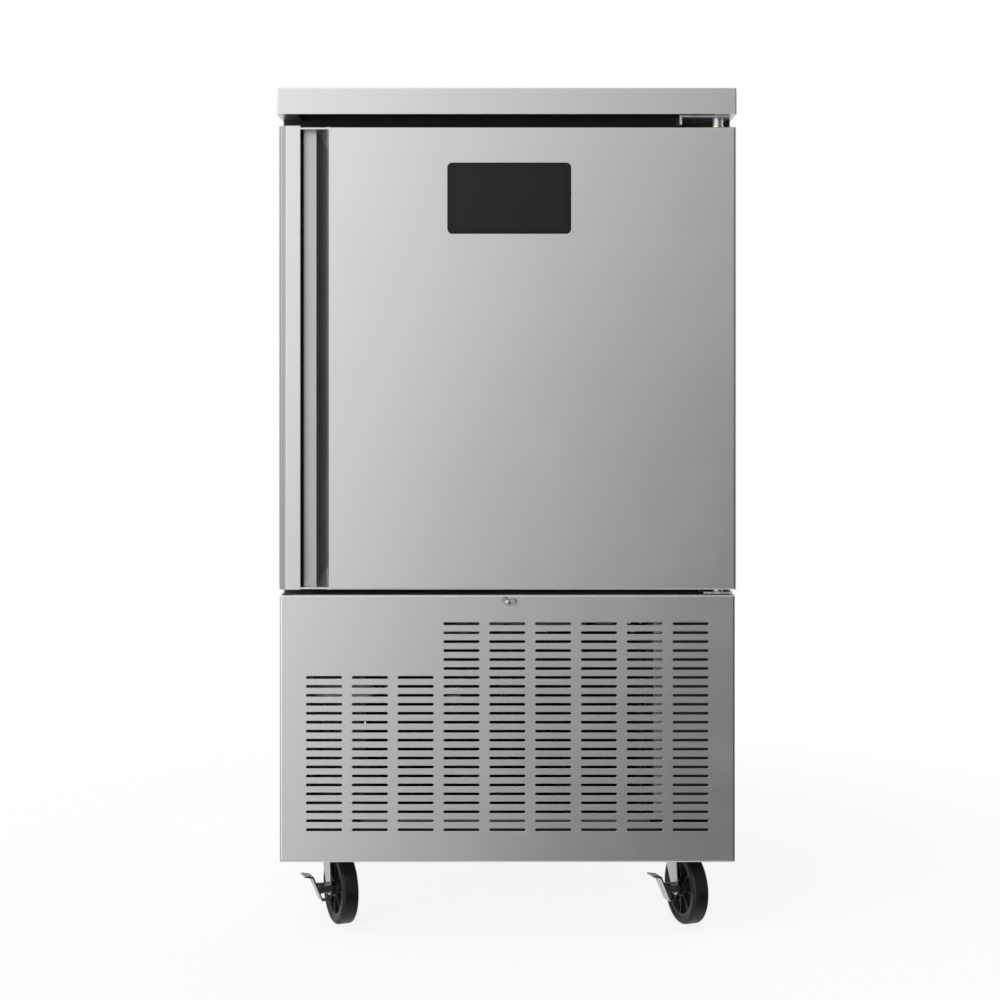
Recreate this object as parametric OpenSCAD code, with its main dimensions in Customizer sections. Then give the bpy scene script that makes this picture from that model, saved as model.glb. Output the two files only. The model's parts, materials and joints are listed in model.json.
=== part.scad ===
// Blast chiller: an insulated cabinet for ten trays over a machine compartment, on four casters.
// Millimetres, +Z up, front towards -Y. The origin is on the floor, under the middle of the worktop.

/* [Overall] */
// Width of the worktop
unit_w = 800; // [780:1:860]
// Depth of the worktop, front to back
unit_d = 815; // [800:1:880]
// How far the worktop stands out past each cabinet side
side_overhang = 2.5; // [1:0.5:8]
// How far the worktop stands out past the back panel
back_overhang = 7.5; // [4:0.5:20]
// Thickness of the stainless sheet
skin = 1.5; // [1:0.1:2]
// Thickness of the insulated walls
wall_t = 60; // [50:1:70]
// Sideways offset of the door and the lower panel
front_shift = 1.2; // [0:0.1:2]

/* [Worktop] */
// Height of the worktop apron
top_t = 46; // [40:1:60]
// Rounding of the worktop's upper edges
top_edge_r = 3; // [2:0.5:6]
// Width of the returns folded under the two sides
top_return = 36; // [20:1:50]
// Height of the free space under the core board, inside the apron
core_lift = 7; // [5:0.5:12]

/* [Door] */
// How far each side of the door lies inside the worktop's width
door_inset = 1.5; // [1.25:0.25:4]
// Height of the door
door_h = 805; // [795:1:815]
// Thickness of the door without its gasket
door_t = 62; // [58:1:70]
// Distance of the door's face behind the worktop's edge
door_setback = 3.5; // [2:0.5:8]
// Gap between the worktop and the top of the door
door_top_gap = 22; // [20:0.5:30]
// Rounding of the door's right and upright edges
door_edge_r = 5; // [3:0.5:8]
// Rounding of the handle's outer edge
handle_edge_r = 14; // [8:0.5:18]
// Room between the door's liner and the cabinet face, taken up by the gasket
gasket_t = 12; // [12:0.5:16]
// Width of the gasket
gasket_w = 20; // [14:1:24]

/* [Handle] */
// Width of the flat grip in front of the finger room
grip_w = 38; // [30:1:44]
// Thickness of the grip's rolled lip
grip_t = 5; // [4:0.5:8]
// How far the finger room reaches behind the grip
finger_reach = 16; // [12:1:18]
// Depth of the finger room
finger_d = 40; // [36:1:44]
// Depth of the channel's flat back
channel_d = 28; // [22:1:32]
// Width of the channel's flat back
channel_back_w = 22; // [16:1:28]
// Width of the channel's slanting wall, seen from the front
channel_slope_w = 24.7; // [18:0.1:30]
// Wall of the handle profile
handle_wall = 2; // [1.5:0.1:2.5]
// How far the handle stands over the door at both ends
handle_over = 2; // [1:0.5:4]

/* [Control] */
// Width of the touch glass
glass_w = 214.5; // [190:0.5:240]
// Height of the touch glass
glass_h = 123; // [110:0.5:140]
// Thickness of the touch glass
glass_t = 5; // [4:0.5:6]
// Corner radius of the touch glass
glass_r = 8; // [5:0.5:12]
// Distance of the glass's centre from the middle of the cabinet
glass_x = 4.4; // [-20:0.1:20]
// Height of the glass's centre below the top of the door
glass_drop = 124; // [100:1:200]
// Depth of the display module behind the glass
module_d = 24; // [18:1:30]

/* [Lower panel] */
// Depth of the panel's folded sides
panel_d = 57; // [50:1:58]
// Distance of the panel's face behind the worktop's edge
panel_setback = 15.5; // [14:0.5:20]
// Height of the panel
panel_h = 468.5; // [462:0.5:520]
// How far each side of the panel lies inside the worktop's width
panel_inset = 2; // [1.25:0.25:4]
// Gap between the door and the panel
panel_gap = 9.5; // [9:0.5:14]
// Rounding of the panel's edges
panel_edge_r = 4; // [3:0.5:8]
// Length of a ventilation slot
slot_l = 63; // [50:1:68]
// Height of a ventilation slot
slot_h = 5; // [4:0.5:7]
// Distance between slot columns
slot_pitch_x = 80; // [78:0.5:84]
// Distance between slot rows
slot_pitch_z = 15.64; // [14:0.02:15.8]
// Number of slot columns
slot_cols = 9; // [7:1:9]
// Number of columns at the left that start lower
short_cols = 3; // [0:1:5]
// Rows in a full column
slot_rows = 24; // [18:1:24]
// Rows in a short column
short_rows = 18; // [12:1:18]
// Height of the lowest row over the panel's lower edge
slot_base = 57.4; // [50:0.2:60]
// Diameter of the wing screw's stud
stud_d = 6; // [5:0.5:8]
// Span of the wing screw's ears
wing_span = 28; // [24:1:34]

/* [Chamber] */
// Rounding of the chamber's long corners
chamber_r = 20; // [10:1:30]
// Levels of tray runners
levels = 10; // [6:1:10]
// Height of the lowest runner over the chamber floor
level_foot = 42; // [36:1:60]
// Room left over the highest tray level
level_head = 22; // [20:1:40]
// Room between a tray and the chamber wall
tray_room = 37.5; // [30:0.5:50]
// Width of a runner's ledge
ledge_w = 18; // [14:1:24]
// Diameter of the chamber fans
evap_fan_d = 250; // [200:5:280]
// Distance from a chamber fan's middle to the nearer end of its cover
fan_inset = 165; // [150:1:175]
// Depth left for the evaporator behind its cover
evap_depth = 190; // [180:1:200]

/* [Machine] */
// Height of the lower edge of the cabinet sides over the floor
skirt_z = 130; // [130:1:140]
// Diameter of the compressor shell
compressor_d = 190; // [160:5:210]
// Height of the compressor shell
compressor_h = 300; // [240:5:330]
// Diameter of the condenser fan
cond_fan_d = 280; // [230:5:290]
// Diameter of the filter drier
drier_d = 36; // [30:1:44]
// Room left of the condenser, for the drier and the pipes
cond_left = 201; // [195:1:240]
// Room between the condenser and the electrical box
cond_gap = 27; // [25:1:50]
// Height of the condenser's fin pack
cond_h = 320; // [300:5:330]
// Depth of the condenser's fin pack
cond_d = 50; // [40:1:60]
// Width of the electrical box
ebox_w = 134; // [110:1:140]
// Depth of the electrical box
ebox_d = 190; // [150:5:220]

/* [Hinge] */
// Distance of the hinge line from the door's right edge
hinge_in = 30; // [26:1:34]
// Distance of the hinge line behind the door's face
hinge_back = 29; // [24:1:32]
// Diameter of the hinge pins
hinge_pin_d = 12; // [8:0.5:12]
// Radial clearance of pins and shafts that turn
fit = 0.05; // [0.02:0.01:0.09]

/* [Casters] */
// Diameter of the wheels
wheel_d = 127; // [100:1:127]
// Width of the tyres
tyre_w = 30; // [26:1:34]
// Height from the floor to the top of the caster plate
caster_h = 157; // [157:1:165]
// Distance of the swivel lines from the worktop's sides
caster_in_x = 90; // [70:1:120]
// Distance of the swivel lines from the worktop's front and back
caster_in_y = 132.5; // [122.5:0.5:160]
// Offset of the axle from the swivel line
trail = 35; // [30:1:40]

/* [Hidden] */
$fn = 48;

// Planes of the cabinet, stacked from the skirt to the worktop
front_y = -unit_d / 2;
back_y = unit_d / 2 - back_overhang;
side_x = unit_w / 2 - side_overhang;
door_y0 = front_y + door_setback;
door_y1 = door_y0 + door_t;
face_y = door_y1 + gasket_t;
panel_z0 = skirt_z - 1;
panel_z1 = panel_z0 + panel_h;
door_z0 = panel_z1 + panel_gap;
door_z1 = door_z0 + door_h;
top_z0 = door_z1 + door_top_gap;
unit_h = top_z0 + top_t;
door_w = unit_w - 2 * door_inset;
door_x0 = front_shift - door_w / 2;
door_x1 = front_shift + door_w / 2;
panel_y0 = front_y + panel_setback;
panel_y1 = panel_y0 + panel_d;
panel_w = unit_w - 2 * panel_inset;
panel_x0 = front_shift - panel_w / 2;
panel_x1 = front_shift + panel_w / 2;
box_z0 = panel_z1 + 2.5;
inner_x = side_x - skin;

// Chamber
chamber_x = side_x - wall_t;
chamber_y1 = back_y - wall_t;
chamber_z0 = box_z0 + wall_t;
chamber_z1 = top_z0 - wall_t;
chamber_h = chamber_z1 - chamber_z0;
chamber_mid = (chamber_z0 + chamber_z1) / 2;
cowl_y = chamber_y1 - evap_depth;
tray_w = 2 * (chamber_x - tray_room);

// Running clearance left between faces that pass each other
run = 0.4;
// Joint left between boards, bars and returns that are seated on each other
seat_gap = 0.2;

// Handle
grip_x = door_x0 + grip_w;
finger_x0 = grip_x - finger_reach;
back_x0 = grip_x + 3.3;
back_x1 = back_x0 + channel_back_w;
slope_x1 = back_x1 + channel_slope_w;
slope_k = channel_slope_w / channel_d;
slope_len = norm([channel_slope_w, channel_d]);
slope_grow = slope_len / channel_d;
handle_z1 = door_z1 + handle_over;

// Hinge
hinge_x = door_x1 - hinge_in;
hinge_y = door_y0 + hinge_back;
bush_d = hinge_pin_d + 6;
bush_l = 32;
bracket_t = 4;

// Base and casters
base_t = 3;
base_z = caster_h;
axle_z = wheel_d / 2;
caster_x = unit_w / 2 - caster_in_x;
caster_y = unit_d / 2 - caster_in_y;
CASTERS = [[-caster_x, -caster_y, 22], [caster_x, -caster_y, 20],
           [-caster_x, caster_y, 14], [caster_x, caster_y, 17]];

// Pivot of the lower panel
pivot_y = panel_y1 - 6;
pivot_z = skirt_z + 10;
pivot_d = 6;

// ---------- shared shapes ----------

// Rectangle with round corners about the origin
module round_rect(w, h, r) {
    square([w - 2 * r, h], center = true);
    square([w, h - 2 * r], center = true);
    for (sx = [-1, 1], sy = [-1, 1])
        translate([sx * (w / 2 - r), sy * (h / 2 - r)]) circle(r = r);
}

// Block from one corner to the opposite one
module block(a, b) {
    translate(a) cube(b - a);
}

// Cylinders that lie along X and Y
module rod_x(x0, x1, y, z, d) {
    translate([x0, y, z]) rotate([0, 90, 0]) cylinder(d = d, h = x1 - x0);
}
module rod_y(x, y0, y1, z, d) {
    translate([x, y0, z]) rotate([-90, 0, 0]) cylinder(d = d, h = y1 - y0);
}
module rod_z(x, y, z0, z1, d) {
    translate([x, y, z0]) cylinder(d = d, h = z1 - z0);
}

// Outline in X and Z carried along Y
module extrude_y(y0, y1) {
    translate([0, y1, 0]) rotate([90, 0, 0]) linear_extrude(height = y1 - y0) children();
}
// Outline in Y and Z carried along X
module extrude_x(x0, x1) {
    translate([x0, 0, 0]) rotate([90, 0, 90]) linear_extrude(height = x1 - x0) children();
}

// Flat strip of thickness t between two points of a plane, with round ends
module strip(p, q, t) {
    translate(p) rotate(atan2(q[1] - p[1], q[0] - p[0])) translate([0, -t / 2]) square([norm(q - p), t]);
    translate(p) circle(d = t);
    translate(q) circle(d = t);
}

// Tube through a list of points, with a soldered ball fitting at each corner
module tube_run(points, d) {
    for (i = [0 : len(points) - 2]) {
        a = points[i];
        b = points[i + 1];
        v = b - a;
        translate(a) rotate([0, acos(v[2] / norm(v)), atan2(v[1], v[0])]) cylinder(d = d, h = norm(v));
        if (i > 0) translate(a) sphere(d = d + 1.6);
    }
}

// Hexagon head or nut along Z, from z0 upwards
module hexagon(z0, h, across) {
    translate([0, 0, z0]) cylinder(d = across / cos(30), h = h, $fn = 6);
}

// ---------- worktop ----------

module worktop_blank(inset) {
    r = top_edge_r;
    w = unit_w - 2 * inset;
    d = unit_d - 2 * inset;
    z1 = unit_h - inset;
    intersection() {
        extrude_y(-d / 2, d / 2) {
            translate([-w / 2, top_z0]) square([w, top_t - r - inset]);
            translate([-w / 2 + r, top_z0]) square([w - 2 * r, top_t - inset]);
            for (s = [-1, 1]) translate([s * (w / 2 - r), z1 - r]) circle(r = r);
        }
        extrude_x(-w / 2, w / 2) {
            translate([-d / 2, top_z0]) square([d, top_t - r - inset]);
            translate([-d / 2 + r, top_z0]) square([d - 2 * r, top_t - inset]);
            for (s = [-1, 1]) translate([s * (d / 2 - r), z1 - r]) circle(r = r);
        }
    }
}

module worktop() color("silver") {
    difference() {
        worktop_blank(0);
        block([-unit_w / 2 + skin, -unit_d / 2 + skin, top_z0 - 1],
              [unit_w / 2 - skin, unit_d / 2 - skin, unit_h - top_edge_r - skin]);
    }
    for (s = [-1, 1]) {
        x0 = s > 0 ? unit_w / 2 - top_return : -unit_w / 2 + skin;
        block([x0, -unit_d / 2 + skin, top_z0],
              [x0 + top_return - skin, unit_d / 2 - skin, top_z0 + skin]);
    }
}

module worktop_core() color("dimgray") {
    x = unit_w / 2 - skin;
    y = unit_d / 2 - skin;
    difference() {
        block([-x, -y, top_z0 + core_lift], [x, y, unit_h - top_edge_r - skin]);
        block([hinge_x - 78, -y - 1, top_z0], [x - top_return, face_y, top_z0 + core_lift]);
    }
    // Packing between the core board and the cabinet roof
    block([-inner_x + top_return, face_y, top_z0], [inner_x - top_return, back_y, top_z0 + core_lift]);
}

// ---------- cabinet ----------

// Side sheet with its front and lower returns, for the side s
module side_panel(s) color("silver") mirror([s > 0 ? 0 : 1, 0, 0]) {
    block([inner_x, face_y, skirt_z], [side_x, back_y, top_z0]);
    block([inner_x - 18, face_y, skirt_z], [inner_x, face_y + skin, box_z0 - rail_h]);
    block([inner_x - 18, face_y, skirt_z], [inner_x, back_y, skirt_z + skin]);
}
module side_panel_left() side_panel(-1);
module side_panel_right() side_panel(1);

module back_panel() color("silver")
    block([-inner_x, back_y - skin, box_z0], [inner_x, back_y, top_z0]);

// Holes through the chamber floor
drain_pos = [0, cowl_y - 210];
drain_d = 32;
pass_in = [37.5, 40];
liquid_pos = [-chamber_x + pass_in[0], chamber_y1 - pass_in[1]];
suction_pos = [chamber_x - pass_in[0], chamber_y1 - pass_in[1]];
pass_d = 26;

module floor_passes(z0, z1) {
    rod_z(drain_pos[0], drain_pos[1], z0, z1, drain_d);
    for (p = [liquid_pos, suction_pos]) rod_z(p[0], p[1], z0, z1, pass_d);
}

// Solid with the chamber's section, grown by t on each side
module chamber_solid(t, y0, y1)
    extrude_y(y0, y1)
        translate([0, chamber_mid]) round_rect(2 * (chamber_x + t), chamber_h + 2 * t, chamber_r + t);

// Five foam boards round the chamber
module insulation() color("khaki") {
    x = chamber_x + skin;
    z0 = chamber_z0 - skin;
    z1 = chamber_z1 + skin;
    y0 = face_y + skin;
    y1 = back_y - skin;
    difference() {
        union() {
            for (s = [-1, 1]) {
                x0 = s > 0 ? x : -inner_x;
                block([x0, y0, box_z0], [x0 + inner_x - x, y1, top_z0]);
            }
            block([-x + seat_gap, y0, z1], [x - seat_gap, y1, top_z0]);
        }
        screw_holes(top_screws);
    }
    difference() {
        block([-x + seat_gap, y0, box_z0], [x - seat_gap, y1, z0]);
        floor_passes(box_z0 - 1, chamber_z0);
    }
    block([-x + seat_gap, chamber_y1 + skin, z0 + seat_gap], [x - seat_gap, y1, z1 - seat_gap]);
}

module chamber_liner() color("gainsboro") difference() {
    chamber_solid(skin, face_y + skin, chamber_y1 + skin);
    chamber_solid(0, face_y, chamber_y1);
    floor_passes(chamber_z0 - 2 * skin, chamber_z0 + 1);
}

module front_frame() color("gray") difference() {
    block([-inner_x, face_y, box_z0], [inner_x, face_y + skin, top_z0]);
    chamber_solid(0, face_y - 1, face_y + 2 * skin);
    screw_holes(top_screws);
}

// ---------- machine compartment ----------

rail_h = 40;
stud_z = panel_z1 - 13.5;
stud_x = front_shift + 1;
nut_d = 16;

module service_rail() color("silver") {
    difference() {
        union() {
            block([-inner_x, face_y, box_z0 - rail_h], [inner_x, face_y + skin, box_z0]);
            rod_y(stud_x, face_y + skin, face_y + skin + 10, stud_z, nut_d);
        }
        rod_y(stud_x, face_y - 1, face_y + skin + 11, stud_z, stud_d + 2);
        screw_holes(foot_screws);
    }
    block([-inner_x, face_y + skin, box_z0 - rail_h], [inner_x, face_y + skin + 18, box_z0 - rail_h + skin]);
}

rear_y = back_y - 25;
gland_pos = [-inner_x + 96, 0, base_z + 73];
lug_x = panel_w / 2 - 28;

module base_plate() color("darkgray") {
    difference() {
        union() {
            block([-inner_x, face_y + skin, base_z], [inner_x, back_y - skin, base_z + base_t]);
            block([-inner_x + 20, face_y + skin, base_z], [inner_x - 20, face_y + skin + base_t, base_z + 22]);
        }
        for (c = CASTERS) caster_holes(c, base_z - 1, base_z + base_t + 1);
    }
    for (s = [-1, 1]) translate([front_shift + s * lug_x, 0, 0]) difference() {
        block([-base_t / 2, pivot_y - 7, pivot_z - 7], [base_t / 2, face_y + 20, base_z]);
        rod_x(-base_t, base_t, pivot_y, pivot_z, pivot_d + 2 * fit + 0.1);
    }
    for (s = [-1, 1]) {
        x0 = s > 0 ? inner_x - base_t : -inner_x;
        block([x0, face_y + 30, skirt_z + skin], [x0 + base_t, back_y - skin, base_z]);
    }
}

module rear_grille() color("silver") {
    louvre_mid = 40;
    louvre_w = inner_x - 96 - louvre_mid;
    difference() {
        block([-inner_x, rear_y - skin, base_z + base_t], [inner_x, rear_y, box_z0]);
        for (s = [-1, 1], i = [0 : 15])
            translate([s * (louvre_mid + louvre_w / 2), 0, base_z + 130 + 18 * i]) extrude_y(rear_y - 3 * skin, rear_y + skin) {
                square([louvre_w - 6, 6], center = true);
                for (e = [-1, 1]) translate([e * (louvre_w / 2 - 3), 0]) circle(d = 6);
            }
        rod_y(gland_pos[0], rear_y - 3 * skin, rear_y + skin, gland_pos[2], 20);
    }
    for (s = [-1, 1]) {
        x0 = s > 0 ? inner_x - skin : -inner_x;
        block([x0, rear_y, base_z + base_t], [x0 + skin, back_y - skin, box_z0]);
    }
}

gland_bore = 13;
module power_gland() color("dimgray") difference() {
    union() {
        rod_y(gland_pos[0], rear_y - 14, rear_y + 6, gland_pos[2], 20);
        translate([gland_pos[0], rear_y, gland_pos[2]]) rotate([-90, 0, 0]) hexagon(0, 6, 27);
        translate([gland_pos[0], rear_y - skin - 6, gland_pos[2]]) rotate([-90, 0, 0]) hexagon(0, 6, 27);
        rod_y(gland_pos[0], rear_y + 6, rear_y + 20, gland_pos[2], 22);
    }
    rod_y(gland_pos[0], rear_y - 15, rear_y + 21, gland_pos[2], gland_bore);
}

// ---------- chamber fittings ----------

coil_side = 82.5;
coil_x = chamber_x - coil_side;
coil_y0 = cowl_y + 92;
plate_t = 3;
cowl_end = 22;
cowl_z0 = chamber_z0 + cowl_end;
cowl_z1 = chamber_z1 - cowl_end;
fan_z = [cowl_z0 + fan_inset, cowl_z1 - fan_inset];
motor_d = 86;
evap_motor_l = 50;
shaft_d = 8;
fan_gap = 6;
evap_hub_l = 26;
evap_shaft_l = 38;
evap_rotor_y = cowl_y + 10;
evap_motor_y = evap_rotor_y + evap_hub_l + 4;

module evaporator_coil() color("lightgray") {
    fin_pitch = 20;
    fin_t = 3;
    row = 80;
    for (x = [-coil_x + fin_pitch : fin_pitch : coil_x - fin_pitch])
        block([x - fin_t / 2, coil_y0 + 4, cowl_z0 + 14], [x + fin_t / 2, chamber_y1 - 8, cowl_z1 - 14]);
    for (s = [-1, 1]) {
        x0 = s > 0 ? coil_x : -coil_x - plate_t;
        block([x0, coil_y0, cowl_z0], [x0 + plate_t, chamber_y1, cowl_z1]);
    }
    // Tubes through the fins
    for (z = [cowl_z0 + row : row : cowl_z1 - row / 2], y = [coil_y0 + 26, chamber_y1 - 30])
        rod_x(-coil_x - plate_t - 12, coil_x + plate_t + 12, y, z, 14);
    // Headers on the right and the left
    for (p = [[1, chamber_y1 - 30, suction_pos], [-1, chamber_y1 - 30, liquid_pos]])
        rod_z(p[0] * (coil_x + plate_t + 12), p[1], cowl_z0 + row / 2, cowl_z1 - row / 2, 16);
}

// Grille of rings and spokes cut in a sheet, about the origin
module ring_slots(d, hub, pitch, rib, spokes) difference() {
    for (r = [hub : pitch : d / 2 - pitch / 2]) difference() {
        circle(r = min(r + pitch - rib, d / 2));
        circle(r = r);
    }
    for (a = [0 : 360 / spokes : 359]) rotate(a) translate([0, -3]) square([d, 6]);
}

module fan_cowl() color("silver") {
    x = coil_x + plate_t + skin;
    difference() {
        block([-x, cowl_y, cowl_z0], [x, cowl_y + skin, cowl_z1]);
        for (z = fan_z) translate([0, 0, z])
            extrude_y(cowl_y - 1, cowl_y + 2 * skin) ring_slots(evap_fan_d, 34, 14, 3, 6);
    }
    for (s = [-1, 1]) {
        x0 = s > 0 ? x - skin : -x;
        block([x0, cowl_y + skin + seat_gap, cowl_z0], [x0 + skin, coil_y0 + 10, cowl_z1]);
    }
}

// Round motor with a shaft bore along Y, its front face at y0, on a bar across it
module fan_motor(x, y0, z, length, bar_half) {
    difference() {
        union() {
            rod_y(x, y0, y0 + length, z, motor_d);
            rod_y(x, y0 - 3, y0, z, 30);
            block([x - bar_half, y0 + length - 12, z - 12], [x + bar_half, y0 + length - 8, z + 12]);
        }
        rod_y(x, y0 - 4, y0 + length - 14, z, shaft_d + 2 * fit);
    }
}

// Rotor with its hub's front face at y0, its shaft reaching back into the motor
module fan_rotor(x, y0, z, d, hub_l, shaft_l, blades, turn) translate([x, y0, z]) {
    hub_d = 62;
    rod_y(0, 0, hub_l, 0, hub_d);
    rod_y(0, hub_l, hub_l + shaft_l, 0, shaft_d);
    intersection() {
        union() for (i = [0 : blades - 1]) rotate([0, turn + i * 360 / blades, 0])
            translate([hub_d / 2 - 4, hub_l / 2, 0]) rotate([28, 0, 0])
                translate([0, -1.2, -d / 9]) cube([d / 2 - hub_d / 2 + 10, 2.4, d / 4.5]);
        rod_y(0, 1, hub_l - 1, 0, d);
    }
}

cond_x0 = -inner_x + cond_left;
cond_x1 = inner_x - ebox_w - cond_gap;
cond_w = cond_x1 - cond_x0;
cond_x = (cond_x0 + cond_x1) / 2;
cond_y0 = face_y + 10;
cond_z0 = base_z + base_t + 20;
cond_mid = cond_z0 + cond_h / 2;
cond_rotor_y = cond_y0 + cond_d + 24;
cond_hub_l = 28;
cond_shaft_l = 40;
cond_motor_y = cond_rotor_y + cond_hub_l + 4;
cond_motor_l = 60;
shroud_l = 34;

module fan_motors() color("dimgray") {
    for (z = fan_z) fan_motor(0, evap_motor_y, z, evap_motor_l, coil_x + plate_t);
    fan_motor(cond_x, cond_motor_y, cond_mid, cond_motor_l, cond_w / 2);
    // Arms that carry the condenser motor from the shroud
    for (s = [-1, 1]) {
        x0 = cond_x + s * (cond_w / 2 - 2) - 2;
        block([x0, cond_y0 + cond_d + shroud_l, cond_mid - 12],
              [x0 + 4, cond_motor_y + cond_motor_l - 8, cond_mid + 12]);
    }
}
module evaporator_fan_upper() color("darkslategray")
    fan_rotor(0, evap_rotor_y, fan_z[1], evap_fan_d - 2 * fan_gap, evap_hub_l, evap_shaft_l, 5, 20);
module evaporator_fan_lower() color("darkslategray")
    fan_rotor(0, evap_rotor_y, fan_z[0], evap_fan_d - 2 * fan_gap, evap_hub_l, evap_shaft_l, 5, 50);
module condenser_fan() color("darkslategray")
    fan_rotor(cond_x, cond_rotor_y, cond_mid, cond_fan_d - 2 * fan_gap, cond_hub_l, cond_shaft_l, 5, 35);

rack_y0 = face_y + 30;
rack_y1 = cowl_y - 22;
bar = 12;
rack_z0 = chamber_z0 + 20;
rack_z1 = chamber_z1 - 20;
level_z0 = chamber_z0 + level_foot;
level_pitch = (chamber_h - level_foot - level_head) / levels;
tray_play = 2.5;
runner_t = 3;

// Uprights, wall studs and tray runners, for the side s
module tray_rack(s) color("lightgray") mirror([s > 0 ? 0 : 1, 0, 0]) {
    x0 = tray_w / 2 + tray_play;
    for (y = [rack_y0 + 10, (rack_y0 + rack_y1) / 2, rack_y1 - 10 - bar]) {
        block([x0, y, rack_z0], [x0 + bar, y + bar, rack_z1]);
        for (z = [rack_z0 + 20, rack_z1 - 20]) rod_x(x0 + bar + seat_gap, chamber_x, y + bar / 2, z, 10);
    }
    for (i = [0 : levels - 1]) {
        z = level_z0 + i * level_pitch;
        block([x0 - ledge_w, rack_y0, z], [x0 - seat_gap, rack_y1, z + runner_t]);
    }
}
module tray_rack_left() tray_rack(-1);
module tray_rack_right() tray_rack(1);

tray_top = box_z0 - 50;
tray_floor = tray_top - 40;
module chamber_drain() color("gray") difference() {
    union() {
        rod_z(drain_pos[0], drain_pos[1], tray_top - 12, chamber_z0, drain_d);
        rod_z(drain_pos[0], drain_pos[1], chamber_z0, chamber_z0 + 2, drain_d + 26);
    }
    rod_z(drain_pos[0], drain_pos[1], tray_top - 13, chamber_z0 + 3, drain_d - 6);
}

module condensate_tray() color("lightgray") {
    x = 150;
    y0 = drain_pos[1] - 90;
    y1 = drain_pos[1] + 140;
    difference() {
        block([-x, y0, tray_floor], [x, y1, tray_top]);
        block([-x + skin, y0 + skin, tray_floor + skin], [x - skin, y1 - skin, tray_top + 1]);
    }
    for (s = [-1, 1], y = [y0 + 20, y1 - 60]) {
        x0 = s > 0 ? x - skin : -x;
        block([x0, y, tray_top], [x0 + skin, y + 40, box_z0]);
    }
}

// ---------- refrigeration ----------

comp_pos = [inner_x - 226, back_y - 210];
foot_h = 12;
comp_z0 = base_z + base_t + foot_h;
suction_z = comp_z0 + 120;
recv_pos = [-inner_x + 166, back_y - 200];
recv_d = 120;
recv_h = 230;

// Upright shell with round shoulders
module shell_can(d, h, r) rotate_extrude() difference() {
    union() {
        square([d / 2 - r, h]);
        translate([0, r]) square([d / 2, h - 2 * r]);
        for (z = [r, h - r]) translate([d / 2 - r, z]) circle(r = r);
    }
    translate([-d, -1]) square([d, h + 2]);
}

module compressor() color("black") {
    translate([comp_pos[0], comp_pos[1], comp_z0]) {
        shell_can(compressor_d, compressor_h, 44);
        translate([0, 0, compressor_h * 0.55]) rotate_extrude() translate([compressor_d / 2 - 3, -5]) square([7, 10]);
        block([-compressor_d / 2 - 10, -compressor_d / 2 + 5, 0], [compressor_d / 2 + 10, compressor_d / 2 - 5, 5]);
        block([-42, -compressor_d / 2 - 34, compressor_h * 0.3], [42, -compressor_d / 2 + 20, compressor_h * 0.3 + 70]);
        for (sx = [-1, 1], sy = [-1, 1])
            translate([sx * (compressor_d / 2 - 4), sy * (compressor_d / 2 - 20), -foot_h]) cylinder(d = 24, h = foot_h);
    }
}

module condenser_coil() color("dimgray") {
    fin_pitch = 12;
    fin_t = 3;
    x0 = cond_x0;
    x1 = cond_x1;
    for (x = [x0 + fin_pitch : fin_pitch : x1 - fin_pitch])
        block([x - fin_t / 2, cond_y0, cond_z0], [x + fin_t / 2, cond_y0 + cond_d, cond_z0 + cond_h]);
    for (x = [x0, x1]) block([x - 1.5, cond_y0 - 2, base_z + base_t], [x + 1.5, cond_y0 + cond_d, cond_z0 + cond_h + 8]);
    block([x0, cond_y0, cond_z0 + cond_h], [x1, cond_y0 + cond_d, cond_z0 + cond_h + 2]);
    // Tubes through the fins and the strip along the foot
    for (z = [cond_z0 + 24 : 68 : cond_z0 + cond_h - 10], y = [cond_y0 + 14, cond_y0 + cond_d - 14])
        rod_x(x0 - 12, x1 + 12, y, z, 10);
    rod_z(x1 + 12, cond_y0 + 14, cond_z0 + 16, cond_z0 + cond_h - 10, 12);
    rod_z(x0 - 12, cond_y0 + 14, cond_z0 + 16, cond_z0 + cond_h - 10, 12);
    block([x0 - 64, cond_y0 - 4, base_z + 23], [x1 + 20, cond_y0 - 2, base_z + 35]);
}

module condenser_shroud() color("gray") {
    x0 = cond_x0;
    x1 = cond_x1;
    y0 = cond_y0 + cond_d;
    y1 = y0 + shroud_l;
    difference() {
        block([x0, y0, base_z + base_t], [x1, y1, cond_z0 + cond_h]);
        block([x0 + skin, y0 - 1, cond_z0], [x1 - skin, y1 - skin, cond_z0 + cond_h - skin]);
        rod_y(cond_x, y0, y1 + 1, cond_mid, cond_fan_d);
    }
}

module receiver() color("dimgray") translate([recv_pos[0], recv_pos[1], base_z + base_t]) {
    rod_z(0, 0, 0, 14, recv_d - 30);
    translate([0, 0, 10]) shell_can(recv_d, recv_h, 30);
    rod_z(0, 0, recv_h + 8, recv_h + 26, 26);
}

drier_pos = [0, face_y + 50, panel_z1 - 186.5];
drier_x = [-inner_x + 51, -inner_x + 156];
module filter_drier() color("peru") {
    r = drier_d / 2;
    rod_x(drier_x[0], drier_x[1], drier_pos[1], drier_pos[2], drier_d);
    rod_x(drier_x[0] - 14, drier_x[0], drier_pos[1], drier_pos[2], 16);
    rod_x(drier_x[1], drier_x[1] + 14, drier_pos[1], drier_pos[2], 16);
    // Clamp and bracket to the left wall
    block([drier_x[0] + 40, drier_pos[1] + r - 3, drier_pos[2] - 10], [drier_x[0] + 60, drier_pos[1] + r + 3, drier_pos[2] + 10]);
    block([-inner_x, drier_pos[1] + r + 3, drier_pos[2] - 10], [drier_x[0] + 60, drier_pos[1] + r + 5, drier_pos[2] + 10]);
}

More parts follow.
